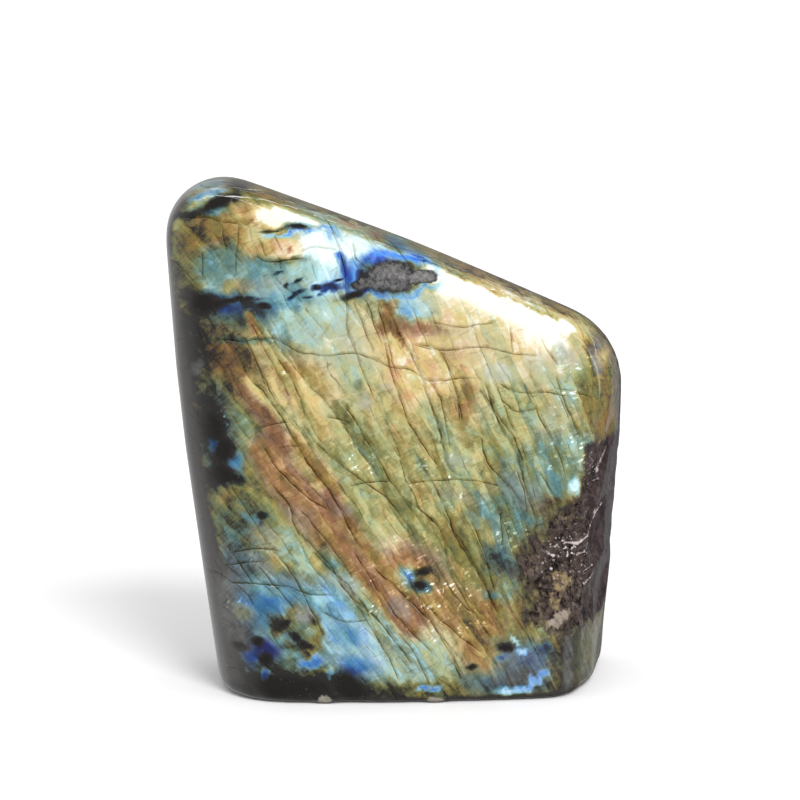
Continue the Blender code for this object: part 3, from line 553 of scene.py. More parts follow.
def fine_line(points):
    """The points of a smooth curve through the given ones, about 1 mm apart and each a little out of line."""
    points = np.array(points, float)
    padded = np.vstack([2 * points[0] - points[1], points, 2 * points[-1] - points[-2]])
    fine = []
    for a, b, c, d in zip(padded[:-3], padded[1:-2], padded[2:-1], padded[3:]):
        steps = max(2, int(np.hypot(*(c - b))))
        for t in np.arange(steps) / steps:
            bend = (2 * a - 5 * b + 4 * c - d) * t**2 + (3 * b - a - 3 * c + d) * t**3
            fine.append(0.5 * (2 * b + (c - a) * t + bend))
    fine = np.array([*fine, points[-1]])
    stray = [noise.noise_vector(Vector((p[0] / 2.2, 7.7, p[1] / 2.2))) for p in fine]
    return fine + LINE_STRAY * np.array([(s.x, s.z) for s in stray])


def unrolled(places):
    """x along the broad face, running on round the right-hand wall."""
    return places[:, 0] + np.where(places[:, 0] > WALL_X, np.maximum(places[:, 1] - WALL_START, 0), 0)


def break_depth(places, normals):
    """How far inside a break each point is, in millimetres."""
    ragged = wander(places, 4.0, 3) * 0.9
    u, z = unrolled(places) + ragged[:, 0], places[:, 2] + ragged[:, 2]
    by_the_break = (places[:, 0] > BREAK_LEFT) & (places[:, 1] < BREAK_BACK)
    depth = np.where(by_the_break, polygon_depth(u, z, BREAK_OUTLINE), -9.0)
    for x, height, half_x, half_z, turn in BACK_BREAKS:
        reach = ellipse_reach(places[:, 0] + ragged[:, 0], z, x, height, half_x, half_z, turn)
        depth = np.where(normals[:, 1] > 0.3, np.maximum(depth, (1 - reach) * half_z), depth)
    return depth


def chip_share(places, normals):
    """1 inside the chips at the foot of the broad face."""
    share = np.zeros(len(places))
    for x, z, half_x, half_z in CHIPS:
        reach = ellipse_reach(places[:, 0], places[:, 2], x, z, half_x, half_z, 0)
        share = np.maximum(share, np.where(normals[:, 1] < 0.2, smooth_step(1.2, 0.8, reach), 0))
    return share


def ledge_reach(places, ledge, ragged):
    """How far each point is outside a ledge's arc, and 1 where the arc runs past it."""
    x, height, radius, start, end = ledge[:5]
    across, up = unrolled(places) - x, places[:, 2] - height
    angle = (np.degrees(np.arctan2(up, across)) - start) % 360
    span = (end - start) % 360
    along = np.where(angle < span, smooth_step(0, 12, angle) * smooth_step(0, 12, span - angle), 0)
    return np.hypot(across, up) + 0.45 * ragged - radius, along


def ledge_drop(places):
    """How deep the flakes and the crumb go at each point of the break, in millimetres."""
    ragged = wander(places, 3.0, 8, 4)
    drop = np.zeros(len(places))
    for ledge in LEDGES:
        outside, along = ledge_reach(places, ledge, ragged[:, 0])
        lip = smooth_step(0.3, -0.3, outside) * smooth_step(-0.9, -0.1, outside / min(ledge[2], 5.0))
        ripples = 1 + 0.06 * np.sin(outside * 2 * math.pi / 1.1)
        drop += ledge[5] * lip * along * ripples
    lumps = np.array([noise.voronoi(Vector(p) / 2.6)[0][:2] for p in places])
    drop += 0.25 * np.clip(lumps[:, 0], 0, 1) + 0.12 * np.abs(ragged[:, 1])
    grains = np.array([noise.noise(Vector(p) / 0.7) for p in places])
    return drop + 0.05 * grains


def ledge_lip_highlight(places):
    """1 along the lips of the ledges, where a highlight is painted."""
    ragged = wander(places, 3.0, 8, 4)
    shares = [np.zeros(len(places))]
    for ledge in LEDGES:
        outside, along = ledge_reach(places, ledge, ragged[:, 0])
        shares.append(ledge[6] * smooth_step(0.36, 0.08, np.abs(outside)) * along)
    return np.max(shares, axis=0)


# ---------------------------------------------------------------- the stone's mesh


def select_only(piece):
    bpy.ops.object.select_all(action="DESELECT")
    piece.select_set(True)
    bpy.context.view_layer.objects.active = piece


def apply_modifier(piece, kind, **settings):
    modifier = piece.modifiers.new(kind.lower(), kind)
    for name, value in settings.items():
        setattr(modifier, name, value)
    select_only(piece)
    bpy.ops.object.modifier_apply(modifier=modifier.name)


def merged_copy(source, name):
    """A copy of a CAD node as one closed mesh."""
    stone = bpy.data.objects.new(name, source.data.copy())
    bpy.context.scene.collection.objects.link(stone)
    stone.data.materials.clear()
    select_only(stone)
    bpy.ops.object.mode_set(mode="EDIT")
    bpy.ops.mesh.select_all(action="SELECT")
    bpy.ops.mesh.remove_doubles(threshold=MERGE)
    bpy.ops.mesh.normals_make_consistent(inside=False)
    bpy.ops.object.mode_set(mode="OBJECT")
    return stone


def cut_finer(piece, chosen):
    """Subdivides the chosen vertices' faces once."""
    select_only(piece)
    bpy.ops.object.mode_set(mode="EDIT")
    bpy.ops.mesh.select_all(action="DESELECT")
    bpy.ops.object.mode_set(mode="OBJECT")
    piece.data.vertices.foreach_set("select", chosen)
    bpy.ops.object.mode_set(mode="EDIT")
    bpy.context.tool_settings.mesh_select_mode = (True, False, False)
    bpy.ops.mesh.select_mode(type="VERT")
    bpy.ops.mesh.subdivide(number_cuts=1, smoothness=0)
    bpy.ops.object.mode_set(mode="OBJECT")


def points_of(mesh):
    """The vertices and their normals, as two arrays. The vertices are in millimetres."""
    places = np.empty(len(mesh.vertices) * 3, np.float32)
    normals = np.empty(len(mesh.vertices) * 3, np.float32)
    mesh.vertices.foreach_get("co", places)
    mesh.vertex_normals.foreach_get("vector", normals)
    return places.reshape(-1, 3).astype(float) / MM, normals.reshape(-1, 3).astype(float)


def weight_group(piece, name, weights):
    """A vertex group of the weights, in steps of a twentieth."""
    group = piece.vertex_groups.new(name=name)
    for step in range(1, 21):
        chosen = np.flatnonzero(np.round(weights * 20) == step)
        if len(chosen):
            group.add(chosen.tolist(), step / 20, "REPLACE")


def displace(piece, weights, distance, direction="NORMAL"):
    """Moves each point by its weight times the distance, in millimetres."""
    weight_group(piece, "moved", weights)
    apply_modifier(
        piece, "DISPLACE", strength=distance * MM, mid_level=0.0, direction=direction, vertex_group="moved"
    )
    piece.vertex_groups.clear()


def polish(stone):
    """Smooths the skin long where it is polished, and hardly where it is broken, which gets finer faces."""
    places, normals = points_of(stone.data)
    rough = np.maximum(smooth_step(-0.5, 0.3, break_depth(places, normals)), chip_share(places, normals))
    for name, weights, rounds in (("polished", 1 - rough, POLISH_ROUNDS), ("broken", rough, BREAK_ROUNDS)):
        weight_group(stone, name, weights)
        apply_modifier(stone, "SMOOTH", factor=0.5, iterations=rounds, vertex_group=name)
    stone.vertex_groups.clear()
    cut_finer(stone, rough > 0.05)


def flake(stone):
    """Sinks the ledges and the crumb of the break, which die away round the right-hand wall."""
    places, normals = points_of(stone.data)
    depth = break_depth(places, normals)
    inside = np.flatnonzero(depth > -0.2)
    drop = np.zeros(len(places))
    drop[inside] = ledge_drop(places[inside]) * smooth_step(-0.2, 0.9, depth[inside])
    drop *= 1 - 0.95 * smooth_step(-9, -1, places[:, 1]) * (places[:, 0] > WALL_X)
    displace(stone, drop / drop.max(), -drop.max())


def fill_out(stone):
    """Gives back what the smoothing took from the wall beside the break and from the corner of the base."""
    places, normals = points_of(stone.data)
    y, z = places[:, 1], places[:, 2]
    swell = np.exp(-(((y - WALL_CREST) / WALL_CREST_WIDTH) ** 2)) * smooth_step(0.3, 0.8, normals[:, 0])
    swell *= smooth_step(6, 28, z) * smooth_step(70, 44, z)
    uneven = [share * np.exp(-(((z - height) / 1.8) ** 2)) for share, height in WALL_DENTS]
    swell *= 0.58 + 0.38 * smooth_step(24, 28, z) * smooth_step(36, 33, z) + sum(uneven)
    displace(stone, swell, SWELL)
    corner = smooth_step(CORNER_REACH, 0, np.linalg.norm(places - BASE_CORNER, axis=1))
    displace(stone, corner, CORNER_SWELL, "X")


def make_stone(source, box):
    stone = merged_copy(source, "polished_labradorite_freeform")
    apply_modifier(stone, "REMESH", mode="VOXEL", voxel_size=VOXEL, use_smooth_shade=True)
    polish(stone)
    flake(stone)
    fill_out(stone)
    # Nothing stands out past the solid's own box.
    kept = np.clip(points_of(stone.data)[0] * MM, *np.array(box))
    stone.data.vertices.foreach_set("co", kept.astype(np.float32).ravel())
    stone.data.update()
    return stone


# ---------------------------------------------------------------- what each point of the stone holds


def paint(share, row_order, row_glow, order, glow, dull):
    """Lays one patch over the others. Where two far colours meet, they cancel to a duller one."""
    meet = 4 * share * (1 - share) * np.clip(np.abs(row_order - order) / 0.3, 0, 1)
    dull[:] = np.maximum(dull * (1 - share), meet)
    order += (row_order - order) * share
    glow += (row_glow - glow) * share


def paint_spots(x, z, spots, layers):
    for _, centre_x, centre_z, half_x, half_z, turn, order, glow, soft in spots:
        reach = ellipse_reach(x, z, centre_x, centre_z, half_x, half_z, turn)
        paint(smooth_step(1 + soft, 1 - soft, reach), order, glow, *layers)


def paint_streams(x, z, streams, layers):
    for _, points, half_start, half_end, order, glow, soft in streams:
        away, where = line_distance(x, z, points)
        reach = np.abs(away) / (half_start + (half_end - half_start) * where)
        paint(smooth_step(1 + soft, 1 - soft, reach), order, glow, *layers)


def ink_depth(x, z, inks):
    """1 in the middle of a dark inclusion, 0 on its rim and less outside."""
    return np.max([np.full(len(x), -3.0)] + [1 - ellipse_reach(x, z, *ink[1:]) for ink in inks], axis=0)


def soft_marks(x, z, marks):
    """The strongest share of any of the marks at each point."""
    strongest = np.zeros(len(x))
    for _, *ellipse, share in marks:
        strongest = np.maximum(strongest, share * smooth_step(1.35, 0.5, ellipse_reach(x, z, *ellipse)))
    return strongest


def slant(normals, line):
    """How far a step across the line and over the skin carries across the line as seen from the front."""
    run = np.subtract(line[-1], line[0]) / math.dist(line[-1], line[0])
    return np.sqrt(np.clip(1 - (normals[:, 2] * run[0] - normals[:, 0] * run[1]) ** 2, 0.06, 1))


def apart(line, other):
    """The least distance between the points of two lines."""
    return np.hypot(line[:, None, 0] - other[None, :, 0], line[:, None, 1] - other[None, :, 1]).min()


def crack_sets(cracks):
    """The cracks' widths and lines in sets, in each of which no two come near each other."""
    sets = [[] for _ in range(CRACK_SETS)]
    for _, width, points in cracks:
        line = fine_line(points)
        free = [kept for kept in sets if all(apart(line, other) > CRACK_APART for _, other in kept)]
        free[0].append((width, line))
    return sets


def flash_layers(places, normals, x, z, slow, quick):
    """Each point's order, glow and dullness, and how far it is on a rim or a wall."""
    base = np.array([np.full(len(x), 0.6), np.full(len(x), 0.1), np.zeros(len(x))])
    ahead, behind, wall = base.copy(), base.copy(), base.copy()
    paint_spots(x, z, SPOTS, ahead)
    paint_streams(x, z, STREAMS, ahead)
    paint_spots(-x, z, BACK_SPOTS, behind)
    # The plates lie level with the broad faces, so the flash fades where the skin turns away from them, and
    # later over the top.
    lean = np.array((0.0, -math.cos(math.radians(FACE_LEAN)), math.sin(math.radians(FACE_LEAN))))
    facing, facing_back = normals @ lean, normals @ (lean * (1, -1, 1))
    aside = normals - facing[:, None] * lean
    upward = smooth_step(0.45, 0.9, aside[:, 2] / np.maximum(np.linalg.norm(aside, axis=1), 1e-6))
    leftward = smooth_step(-0.05, -0.3, normals[:, 0]) * (0.4 + 0.6 * smooth_step(58, 74, places[:, 2]))
    eased = 0.45 * upward + 0.32 * leftward
    shows = smooth_step(0.80 - eased, 0.95 - 0.6 * eased, facing + 0.05 * quick[:, 1])
    shows_back = smooth_step(0.80, 0.95, facing_back + 0.05 * quick[:, 1])
    # The walls are grey olive. The rims along the face, and the top behind its crest, have their own patches.
    wall[0] = 0.66 + 0.10 * slow[:, 1]
    wall[1] = 0.03 + 0.10 * np.clip(quick[:, 0] + slow[:, 0], 0, 1)
    wall[1] += 0.14 * smooth_step(0.2, 0.8, normals[:, 2])
    wall[1] -= 0.16 * smooth_step(-0.2, -0.5, normals[:, 0]) * smooth_step(2, -8, places[:, 1])
    rims, crown = wall.copy(), wall.copy()
    paint_spots(places[:, 0], places[:, 2], RIM_SPOTS, rims)
    paint_spots(x, places[:, 1] + 1.5 * slow[:, 1], CROWN_SPOTS, crown)
    back = places[:, 1] + 4 * slow[:, 1] + 2 * quick[:, 1]
    wall += (rims - wall) * smooth_step(0.45, 0.05, normals[:, 1] + 0.3 * quick[:, 1])
    wall += (crown - wall) * smooth_step(-4, 3, back) * smooth_step(0.45, 0.8, normals[:, 2])
    layers = wall + (ahead - wall) * shows + (behind - wall) * shows_back
    return layers, 1 - np.maximum(shows, shows_back)


def highlight_scratch_marks(places, normals, front):
    """How far each point is from a painted ridge highlight, in its widths, and how bright it is there."""
    off, bright = np.full(len(places), 9.0), np.zeros(len(places))
    reached = smooth_step(-2, -5.5, places[:, 1])
    for _, width, points, strength in HIGHLIGHT_SCRATCHES:
        away, where = line_distance(places[:, 0], places[:, 2], fine_line(points))
        away = away / slant(normals, points)
        near = front & (np.abs(away) < np.abs(off))
        off[near] = away[near] / width
        bright[near] = (strength * smooth_step(0, 0.1, where) * smooth_step(1, 0.9, where) * reached)[near]
    return off, bright


def crack_marks(places, normals, front):
    """For each set of cracks, how far each point is from the nearest one, in its widths, and its strength."""
    offs, strengths = [], []
    for ahead, behind in zip(crack_sets(CRACKS), crack_sets(BACK_CRACKS)):
        signed, strength, width = np.full(len(places), 9.0), np.zeros(len(places)), np.full(len(places), 0.2)
        for cracks, side, turned in ((ahead, front, 1), (behind, ~front, -1)):
            for full_width, line in cracks:
                away, where = line_distance(turned * places[:, 0], places[:, 2], line)
                away = away / np.maximum(slant(normals * (turned, 1, 1), line), 0.5)
                near = side & (np.abs(away) < np.abs(signed))
                taper = smooth_step(0, 0.08, where) * smooth_step(1, 0.88, where)
                signed[near], width[near] = away[near], full_width
                strength[near] = (taper * smooth_step(CRACK_REACH, 0.6 * CRACK_REACH, np.abs(away)))[near]
        offs.append(signed / width)
        strengths.append(strength)
    return offs, strengths


def add_attribute(mesh, name, columns):
    attribute = mesh.attributes.new(name, "FLOAT_VECTOR", "POINT")
    attribute.data.foreach_set("vector", np.stack(columns, axis=1).astype(np.float32).ravel())


def hold_marks(stone):
    """Puts on each point its flash, its marks and its place beside the cracks."""
    places, normals = points_of(stone.data)
    hold = functools.partial(add_attribute, stone.data)
    fan_x, fan_z = places[:, 0] - FAN[0], places[:, 2] - FAN[1]
    across = np.arctan2(fan_x, fan_z) * FAN_REACH + GRAIN_DEPTH[0] * places[:, 1]
    along = np.hypot(fan_x, fan_z) + GRAIN_DEPTH[1] * places[:, 1]
    hold("grain", (across, along, places[:, 1]))
    slow, quick = wander(places, 9.0, 1), wander(places, 2.4, 2)
    fingers = wander(np.stack([across, 0.16 * along, 0.3 * places[:, 1]], axis=1), 1.5, 5, 2)[:, 0]
    x = places[:, 0] + 0.6 * slow[:, 0] + 0.45 * quick[:, 0] + 0.4 * fingers
    z = places[:, 2] + 0.6 * slow[:, 2] + 0.45 * quick[:, 2] - 0.8 * fingers
    layers, rim = flash_layers(places, normals, x, z, slow, quick)
    hold("flash", layers)
    front = normals[:, 1] < 0.25
    # The break starts softly on its left, where the stone over it is clear and brown.
    softer = 1 + 2.2 * smooth_step(36, 28, places[:, 0]) * front
    deep = np.clip(break_depth(places, normals), -6, 6) / softer
    hold("skin", (rim, deep, chip_share(places, normals)))
    # The dark inclusions keep their own outlines better than the flash does.
    ink_x, ink_z = 0.6 * places[:, 0] + 0.4 * x, 0.6 * places[:, 2] + 0.4 * z
    ink = np.where(front, ink_depth(ink_x, ink_z, INKS), ink_depth(-x, z, BACK_INKS))
    hold("marks", (ink, soft_marks(x, z, HAZES) * front, soft_marks(ink_x, ink_z, SPECKLES) * front))
    # Where a highlight is painted along the lip of each ledge.
    lip = ledge_lip_highlight(places) * (deep > 0) * (places[:, 0] > BREAK_LEFT) * smooth_step(2, -4, places[:, 1])
    hold("grains", (soft_marks(x, z, TAN_GRAINS) * front, soft_marks(x, z, PINK_GRAINS) * front, lip))
    hold("glints", (np.where(front, soft_marks(x, z, GLINTS), 0.3), *highlight_scratch_marks(places, normals, front)))
    offs, strengths = crack_marks(places, normals, front)
    for number in range(0, CRACK_SETS, 3):
        hold(f"crack_offs_{number}", offs[number : number + 3])
        hold(f"crack_strengths_{number}", strengths[number : number + 3])


# ---------------------------------------------------------------- materials


def add_node(tree, kind, inputs=(), **settings):
    """Adds one node with its settings, and gives its outputs. Inputs maps a socket to a value, or to the
    output that is linked to it."""
    made = tree.nodes.new("ShaderNode" + kind)
    for name, value in settings.items():
        setattr(made, name, value)
    for name, value in dict(inputs).items():
        if isinstance(value, bpy.types.NodeSocket):
            tree.links.new(value, made.inputs[name])
        else:
            made.inputs[name].default_value = value
    return made.outputs


def new_material(name):
    material = bpy.data.materials.new(name)
    material.use_nodes = True
    material.node_tree.nodes.clear()
    return material


# The thin-film colours from indigo to rose brown.
CLEAR_COLOURS = (
    (0, "#221f6a"), (0.1, "#1f4585"), (0.2, "#3d6f91"), (0.3, "#537f86"), (0.4, "#607a6c"), (0.5, "#6d7349"),
    (0.6, "#7f7842"), (0.7, "#87703e"), (0.8, "#83633d"), (0.9, "#7f5b40"), (1.0, "#6b4f3f"),
)
BRIGHT_COLOURS = (
    (0, "#3f48c4"), (0.1, "#3c78d2"), (0.2, "#6ca2d3"), (0.3, "#96c4cf"), (0.4, "#9db8ab"), (0.5, "#a2ac80"),
    (0.6, "#b7b07b"), (0.7, "#c6b073"), (0.8, "#c09a6d"), (0.9, "#b48764"), (1.0, "#9f7862"),
)
BLOWN_COLOURS = ((0.0, "#b9cdfa"), (0.3, "#dff5fa"), (0.5, "#e6efe2"), (0.7, "#ece5d0"), (1.0, "#e6d3c4"))
# A clear flash, a bright one and a blown-out one, with the glow where each starts and where it is full.
FLASHES = ((CLEAR_COLOURS, 0.05, 0.52), (BRIGHT_COLOURS, 0.42, 0.86), (BLOWN_COLOURS, 0.84, 1.16))
BODY, RIM_BODY, INK, HAZE = "#2b2a29", "#3d3b39", "#22201f", "#979b98"
CRACK, SHADOW, PLATE_LINE = "#6f6440", "#b3a172", "#968a62"  # tints that multiply the colour under them
# Two painted highlights: the pale edge beside each crack, and the near-white lines along the ridges.
CRACK_EDGE_HIGHLIGHT, HIGHLIGHT_SCRATCH = "#6e6c58", "#d3d6d4"
SPECKLE_DARK, SPECKLE_LIGHT = "#2c2b2c", "#8b8a89"
# The third is the white of the painted glints on the break.
BREAK_DARK, BREAK_LIGHT, BREAK_GLINT = "#161213", "#5a4d46", "#cfc9c6"
BREAK_GLASS, BREAK_SHEEN = "#30272a", "#4b4142"
BREAK_TAN, BREAK_PINK, LIP_HIGHLIGHT, CHIP = "#8f7d5c", "#968a7c", "#c2b4b2", "#8f8a7e"
# A crack's dark line, its soft shadow on the right and its lit edge on the left: the middle of each, and how
# far from there it starts to fade and has faded away, in widths of the crack.
CRACK_BANDS = ((0.0, 0.1, 1.0), (1.2, 0.2, 2.4), (-1.1, 0.1, 0.6))


def fill_ramp(ramp, stops):
    while len(ramp.elements) > 1:
        ramp.elements.remove(ramp.elements[-1])
    ramp.elements[0].position, ramp.elements[0].color = stops[0][0], linear(stops[0][1])
    for place, colour in stops[1:]:
        ramp.elements.new(place).color = linear(colour)


def labradorite():
    """Labradorite, a feldspar, sawn and polished to a glassy skin. Its flash shows in plates and streaks."""
    material = new_material("polished_labradorite_feldspar")
    add = functools.partial(add_node, material.node_tree)
    smooth = {"interpolation_type": "SMOOTHSTEP"}

    def held(name):
        """The three numbers that each point of the stone holds under this name."""
        return add("SeparateXYZ", {"Vector": add("Attribute", attribute_name=name)["Vector"]})

    def total(start, *terms):
        """start + the sum of each output, less its middle, times its weight."""
        for output, middle, weight in terms:
            above = add("Math", {0: output, 1: middle}, operation="SUBTRACT")[0]
            start = add("Math", {0: above, 1: weight, 2: start}, operation="MULTIPLY_ADD")[0]
        return start

    def covered(under, over, share, low, high, step="SMOOTHSTEP"):
        """The one colour going over into the other as the share rises from low to high."""
        rise = {"Value": share, "From Min": low, "From Max": high}
        share = add("MapRange", rise, interpolation_type=step)[0]
        return add("Mix", {"Factor": share, 6: under, 7: over}, data_type="RGBA")[2]

    def three_of(kind, places, **inputs):
        """Three patterns of one texture, from its colour channels."""
        texture = add(kind, {"Vector": places, "Scale": 1.0, **inputs})
        return add("SeparateColor", {"Color": texture["Color"]})

    place = add("TexCoord")["Object"]
    flash, skin, marks = held("flash"), held("skin"), held("marks")
    grains, glints = held("grains"), held("glints")
    # The stripes wander: lumps of 5 mm, moved by up to 1 mm.
    bend = add("TexNoise", {"Vector": place, "Scale": 120.0, "Detail": 3.0})["Color"]
    bend = add("VectorMath", {0: bend, 1: (0.5, 0.5, 0.5)}, operation="SUBTRACT")[0]
    bent = add("Attribute", attribute_name="grain")["Vector"]
    bent = add("VectorMath", {0: bend, 1: (2.2, 2.2, 2.2), 2: bent}, operation="MULTIPLY_ADD")[0]

    def laid(across, along, deep, shift=0.0):
        """Places along the stripes, in units of the given millimetres. Shift is a number or an output."""
        shift = shift if isinstance(shift, bpy.types.NodeSocket) else (shift,) * 3
        units = (1 / across, 1 / along, 1 / deep)
        return add("VectorMath", {0: bent, 1: units, 2: shift}, operation="MULTIPLY_ADD")[0]

    def plates(width, sway, shift):
        """Long plates that overlap like slates: the place across one, its own colour and where it shows."""
        lumps = laid(width * 2.4, width * 7, width * 5, shift)
        swayed = add("TexNoise", {"Vector": lumps, "Scale": 1.0})["Fac"]
        across = add("SeparateXYZ", {"Vector": laid(width, width, width, shift)})["X"]
        across = add("Math", {0: swayed, 1: sway, 2: across}, operation="MULTIPLY_ADD")[0]
        number = add("Math", {0: across}, operation="FLOOR")[0]
        chance = add("TexWhiteNoise", {"W": number}, noise_dimensions="1D")["Color"]
        lumps = laid(width * 1.6, width * 4, width * 3, shift + 4)
        shown = add("TexNoise", {"Vector": lumps, "Scale": 1.0})["Fac"]
        shown = add("MapRange", {"Value": shown, "From Min": 0.42, "From Max": 0.58}, **smooth)[0]
        return add("Math", {0: across}, operation="FRACT")[0], chance, shown

    wide, wide_chance, wide_shown = plates(5.6, 2.4, 0.0)
    narrow, narrow_chance, narrow_shown = plates(2.1, 2.0, 9.0)
    # Each plate has its own striations across it, which end at its edge.
    own = add("VectorMath", {0: wide_chance, 1: (31, 17, 23), 2: narrow_chance}, operation="MULTIPLY_ADD")[0]
    rough_noise = {"Scale": 1.0, "Roughness": 0.6}
    streaks = add("TexNoise", {"Vector": laid(0.8, 9.0, 5.0), "Detail": 4.0, **rough_noise})["Fac"]
    folds = add("TexNoise", {"Vector": laid(5.0, 0.5, 4.0, own), "Detail": 3.0, **rough_noise})["Fac"]
    fine = add("TexNoise", {"Vector": laid(2.4, 0.27, 3.0, own), "Scale": 1.0, "Detail": 1.0})["Fac"]
    patches = three_of("TexNoise", laid(2.4, 3.6, 3.0, 6.0), Detail=3.0, Roughness=0.6)
    flakes = three_of("TexNoise", laid(1.6, 3.0, 2.0, own), Detail=2.0, Roughness=0.6)
    mottle = three_of("TexNoise", laid(0.7, 1.5, 0.9, 11.0), Detail=5.0, Roughness=0.78)
    crumple = three_of("TexVoronoi", laid(1.5, 1.9, 1.6, 2.0))
    facets = three_of("TexVoronoi", laid(2.9, 5.0, 3.2, 7.0))
    crumb = three_of("TexNoise", place, Scale=900.0, Detail=4.0, Roughness=0.7)
    # On the bevels the plates are cut across, so their streaks run along the ridge.
    turned = {"Vector": place, "Rotation": (0.0, math.radians(-20), 0.0), "Scale": (130, 900, 900)}
    ridge = three_of("TexNoise", add("Mapping", turned)[0], Detail=4.0, Roughness=0.65)

    wide_chance = add("SeparateColor", {"Color": wide_chance})
    narrow_chance = add("SeparateColor", {"Color": narrow_chance})
    turn = total(
        0.0, (streaks, 0.5, 0.14), (patches[0], 0.5, 0.26), (mottle[0], 0.5, 0.16), (flakes[0], 0.5, 0.17),
        (wide_chance[0], 0.5, 0.06), (narrow_chance[0], 0.5, 0.10), (crumple[0], 0.5, 0.05),
        (facets[0], 0.5, 0.07),
    )
    # The blue flash lies deeper, in smooth clouds.
    cloudy = add("MapRange", {"Value": flash["X"], "From Min": 0.22, "From Max": 0.45, "To Min": 0.5})[0]
    order = add("Math", {0: turn, 1: cloudy, 2: flash["X"]}, operation="MULTIPLY_ADD")[0]
    slate = add("Math", {0: total(0.0, (wide, 0.45, 1.0)), 1: wide_shown}, operation="MULTIPLY")[0]
    small_slate = add("Math", {0: total(0.0, (narrow, 0.45, 1.0)), 1: narrow_shown}, operation="MULTIPLY")[0]
    stir = total(
        0.0, (streaks, 0.5, 0.30), (folds, 0.5, 0.22), (fine, 0.5, 0.15), (patches[1], 0.5, 0.32),
        (mottle[1], 0.5, 0.30), (flakes[1], 0.5, 0.34), (slate, 0.0, 0.12), (small_slate, 0.0, 0.10),
        (wide_chance[1], 0.5, 0.12), (narrow_chance[1], 0.5, 0.16), (crumple[1], 0.5, 0.14),
        (facets[1], 0.5, 0.15),
    )
    # A blown-out flash drowns its own pattern, and the rims are plainer.
    calm = {"Value": flash["Y"], "From Min": 0.75, "From Max": 1.15, "To Min": 1.0, "To Max": 0.25}
    calm = add("MapRange", calm)[0]
    plain = add("MapRange", {"Value": skin["X"], "To Min": 1.0, "To Max": 0.22})[0]
    for share in (cloudy, plain):
        stir = add("Math", {0: stir, 1: share}, operation="MULTIPLY")[0]
    glow = add("Math", {0: stir, 1: calm, 2: flash["Y"]}, operation="MULTIPLY_ADD")[0]
    # Round a dark inclusion the flash dims first, and turns towards blue.
    fringe = add("MapRange", {"Value": marks["X"], "From Min": -0.8, "From Max": 0.1}, **smooth)[0]
    order, glow = total(order, (fringe, 0.0, -0.10)), total(glow, (fringe, 0.0, -0.24))
    height = add("SeparateXYZ", {"Vector": place})["Z"]
    height = add("MapRange", {"Value": height, "From Min": 0.045, "From Max": 0.065, "To Min": 0.15})[0]
    ridged = add("Math", {0: height, 1: skin["X"]}, operation="MULTIPLY")[0]
    streaked = add("Math", {0: total(0.0, (ridge[0], 0.5, 1.2)), 1: ridged}, operation="MULTIPLY")[0]
    tinted = add("Math", {0: total(0.0, (ridge[1], 0.5, 0.5)), 1: ridged}, operation="MULTIPLY")[0]
    order, glow = total(order, (tinted, 0.0, 1.0)), total(glow, (streaked, 0.0, 1.0))
    # Cleavage faces of about 1 mm by 0.4 mm, of which a few catch the light.
    face = three_of("TexVoronoi", laid(1.1, 0.4, 0.7, 5.0))[0]
    spark = add("MapRange", {"Value": face, "From Min": 0.83, "From Max": 0.96})[0]
    near = add("MapRange", {"Value": flakes[1], "From Min": 0.46, "From Max": 0.60})[0]
    for share in (glints["X"], near):
        spark = add("Math", {0: spark, 1: share}, operation="MULTIPLY")[0]
    glow = total(glow, (spark, 0.0, 0.8))

    colour = add("Mix", {"Factor": skin["X"], 6: linear(BODY), 7: linear(RIM_BODY)}, data_type="RGBA")[2]
    for stops, low, high in FLASHES:
        flashed = add("ValToRGB", {"Fac": order})["Color"]
        fill_ramp(flashed.node.color_ramp, stops)
        colour = covered(colour, flashed, glow, low, high)
    dull = total(0.0, (flash["Z"], 0.0, 0.5), (patches[2], 0.5, 0.6))
    dull = add("MapRange", {"Value": dull, "To Min": 1.0, "To Max": 0.35})[0]
    colour = add("HueSaturation", {"Saturation": dull, "Color": colour})[0]
    milk = total(0.6, (folds, 0.5, 0.9), (flakes[2], 0.5, 1.4), (streaks, 0.5, 0.9))
    milk = add("Math", {0: milk, 1: marks["Y"]}, operation="MULTIPLY", use_clamp=True)[0]
    colour = add("Mix", {"Factor": milk, 6: colour, 7: linear(HAZE)}, data_type="RGBA")[2]
    # A dark line where one plate ends under the next, and a few short level cracks across them.
    ragged = {"Value": mottle[2], "From Min": 0.38, "From Max": 0.56, "To Min": 0.15}
    ragged = add("MapRange", ragged, **smooth)[0]
    level = add("TexVoronoi", {"Vector": laid(9.0, 3.4, 9.0, 5.0), "Scale": 1.0}, feature="DISTANCE_TO_EDGE")
    some = add("MapRange", {"Value": patches[2], "From Min": 0.50, "From Max": 0.60})[0]
    for share, low, high, weakest, strongest, where in (
        (wide, 0.94, 0.982, 0.0, 1.0, (wide_shown, ragged, calm)),
        (narrow, 0.90, 0.97, 0.0, 0.8, (narrow_shown, ragged, calm)),
        (level["Distance"], 0.0, 0.05, 0.35, 0.0, (some,)),
    ):
        line = {"Value": share, "From Min": low, "From Max": high, "To Min": weakest, "To Max": strongest}
        line = add("MapRange", line)[0]
        for there in where:
            line = add("Math", {0: line, 1: there}, operation="MULTIPLY")[0]
        tint = {"Factor": line, 6: colour, 7: linear(PLATE_LINE)}
        colour = add("Mix", tint, data_type="RGBA", blend_type="MULTIPLY")[2]
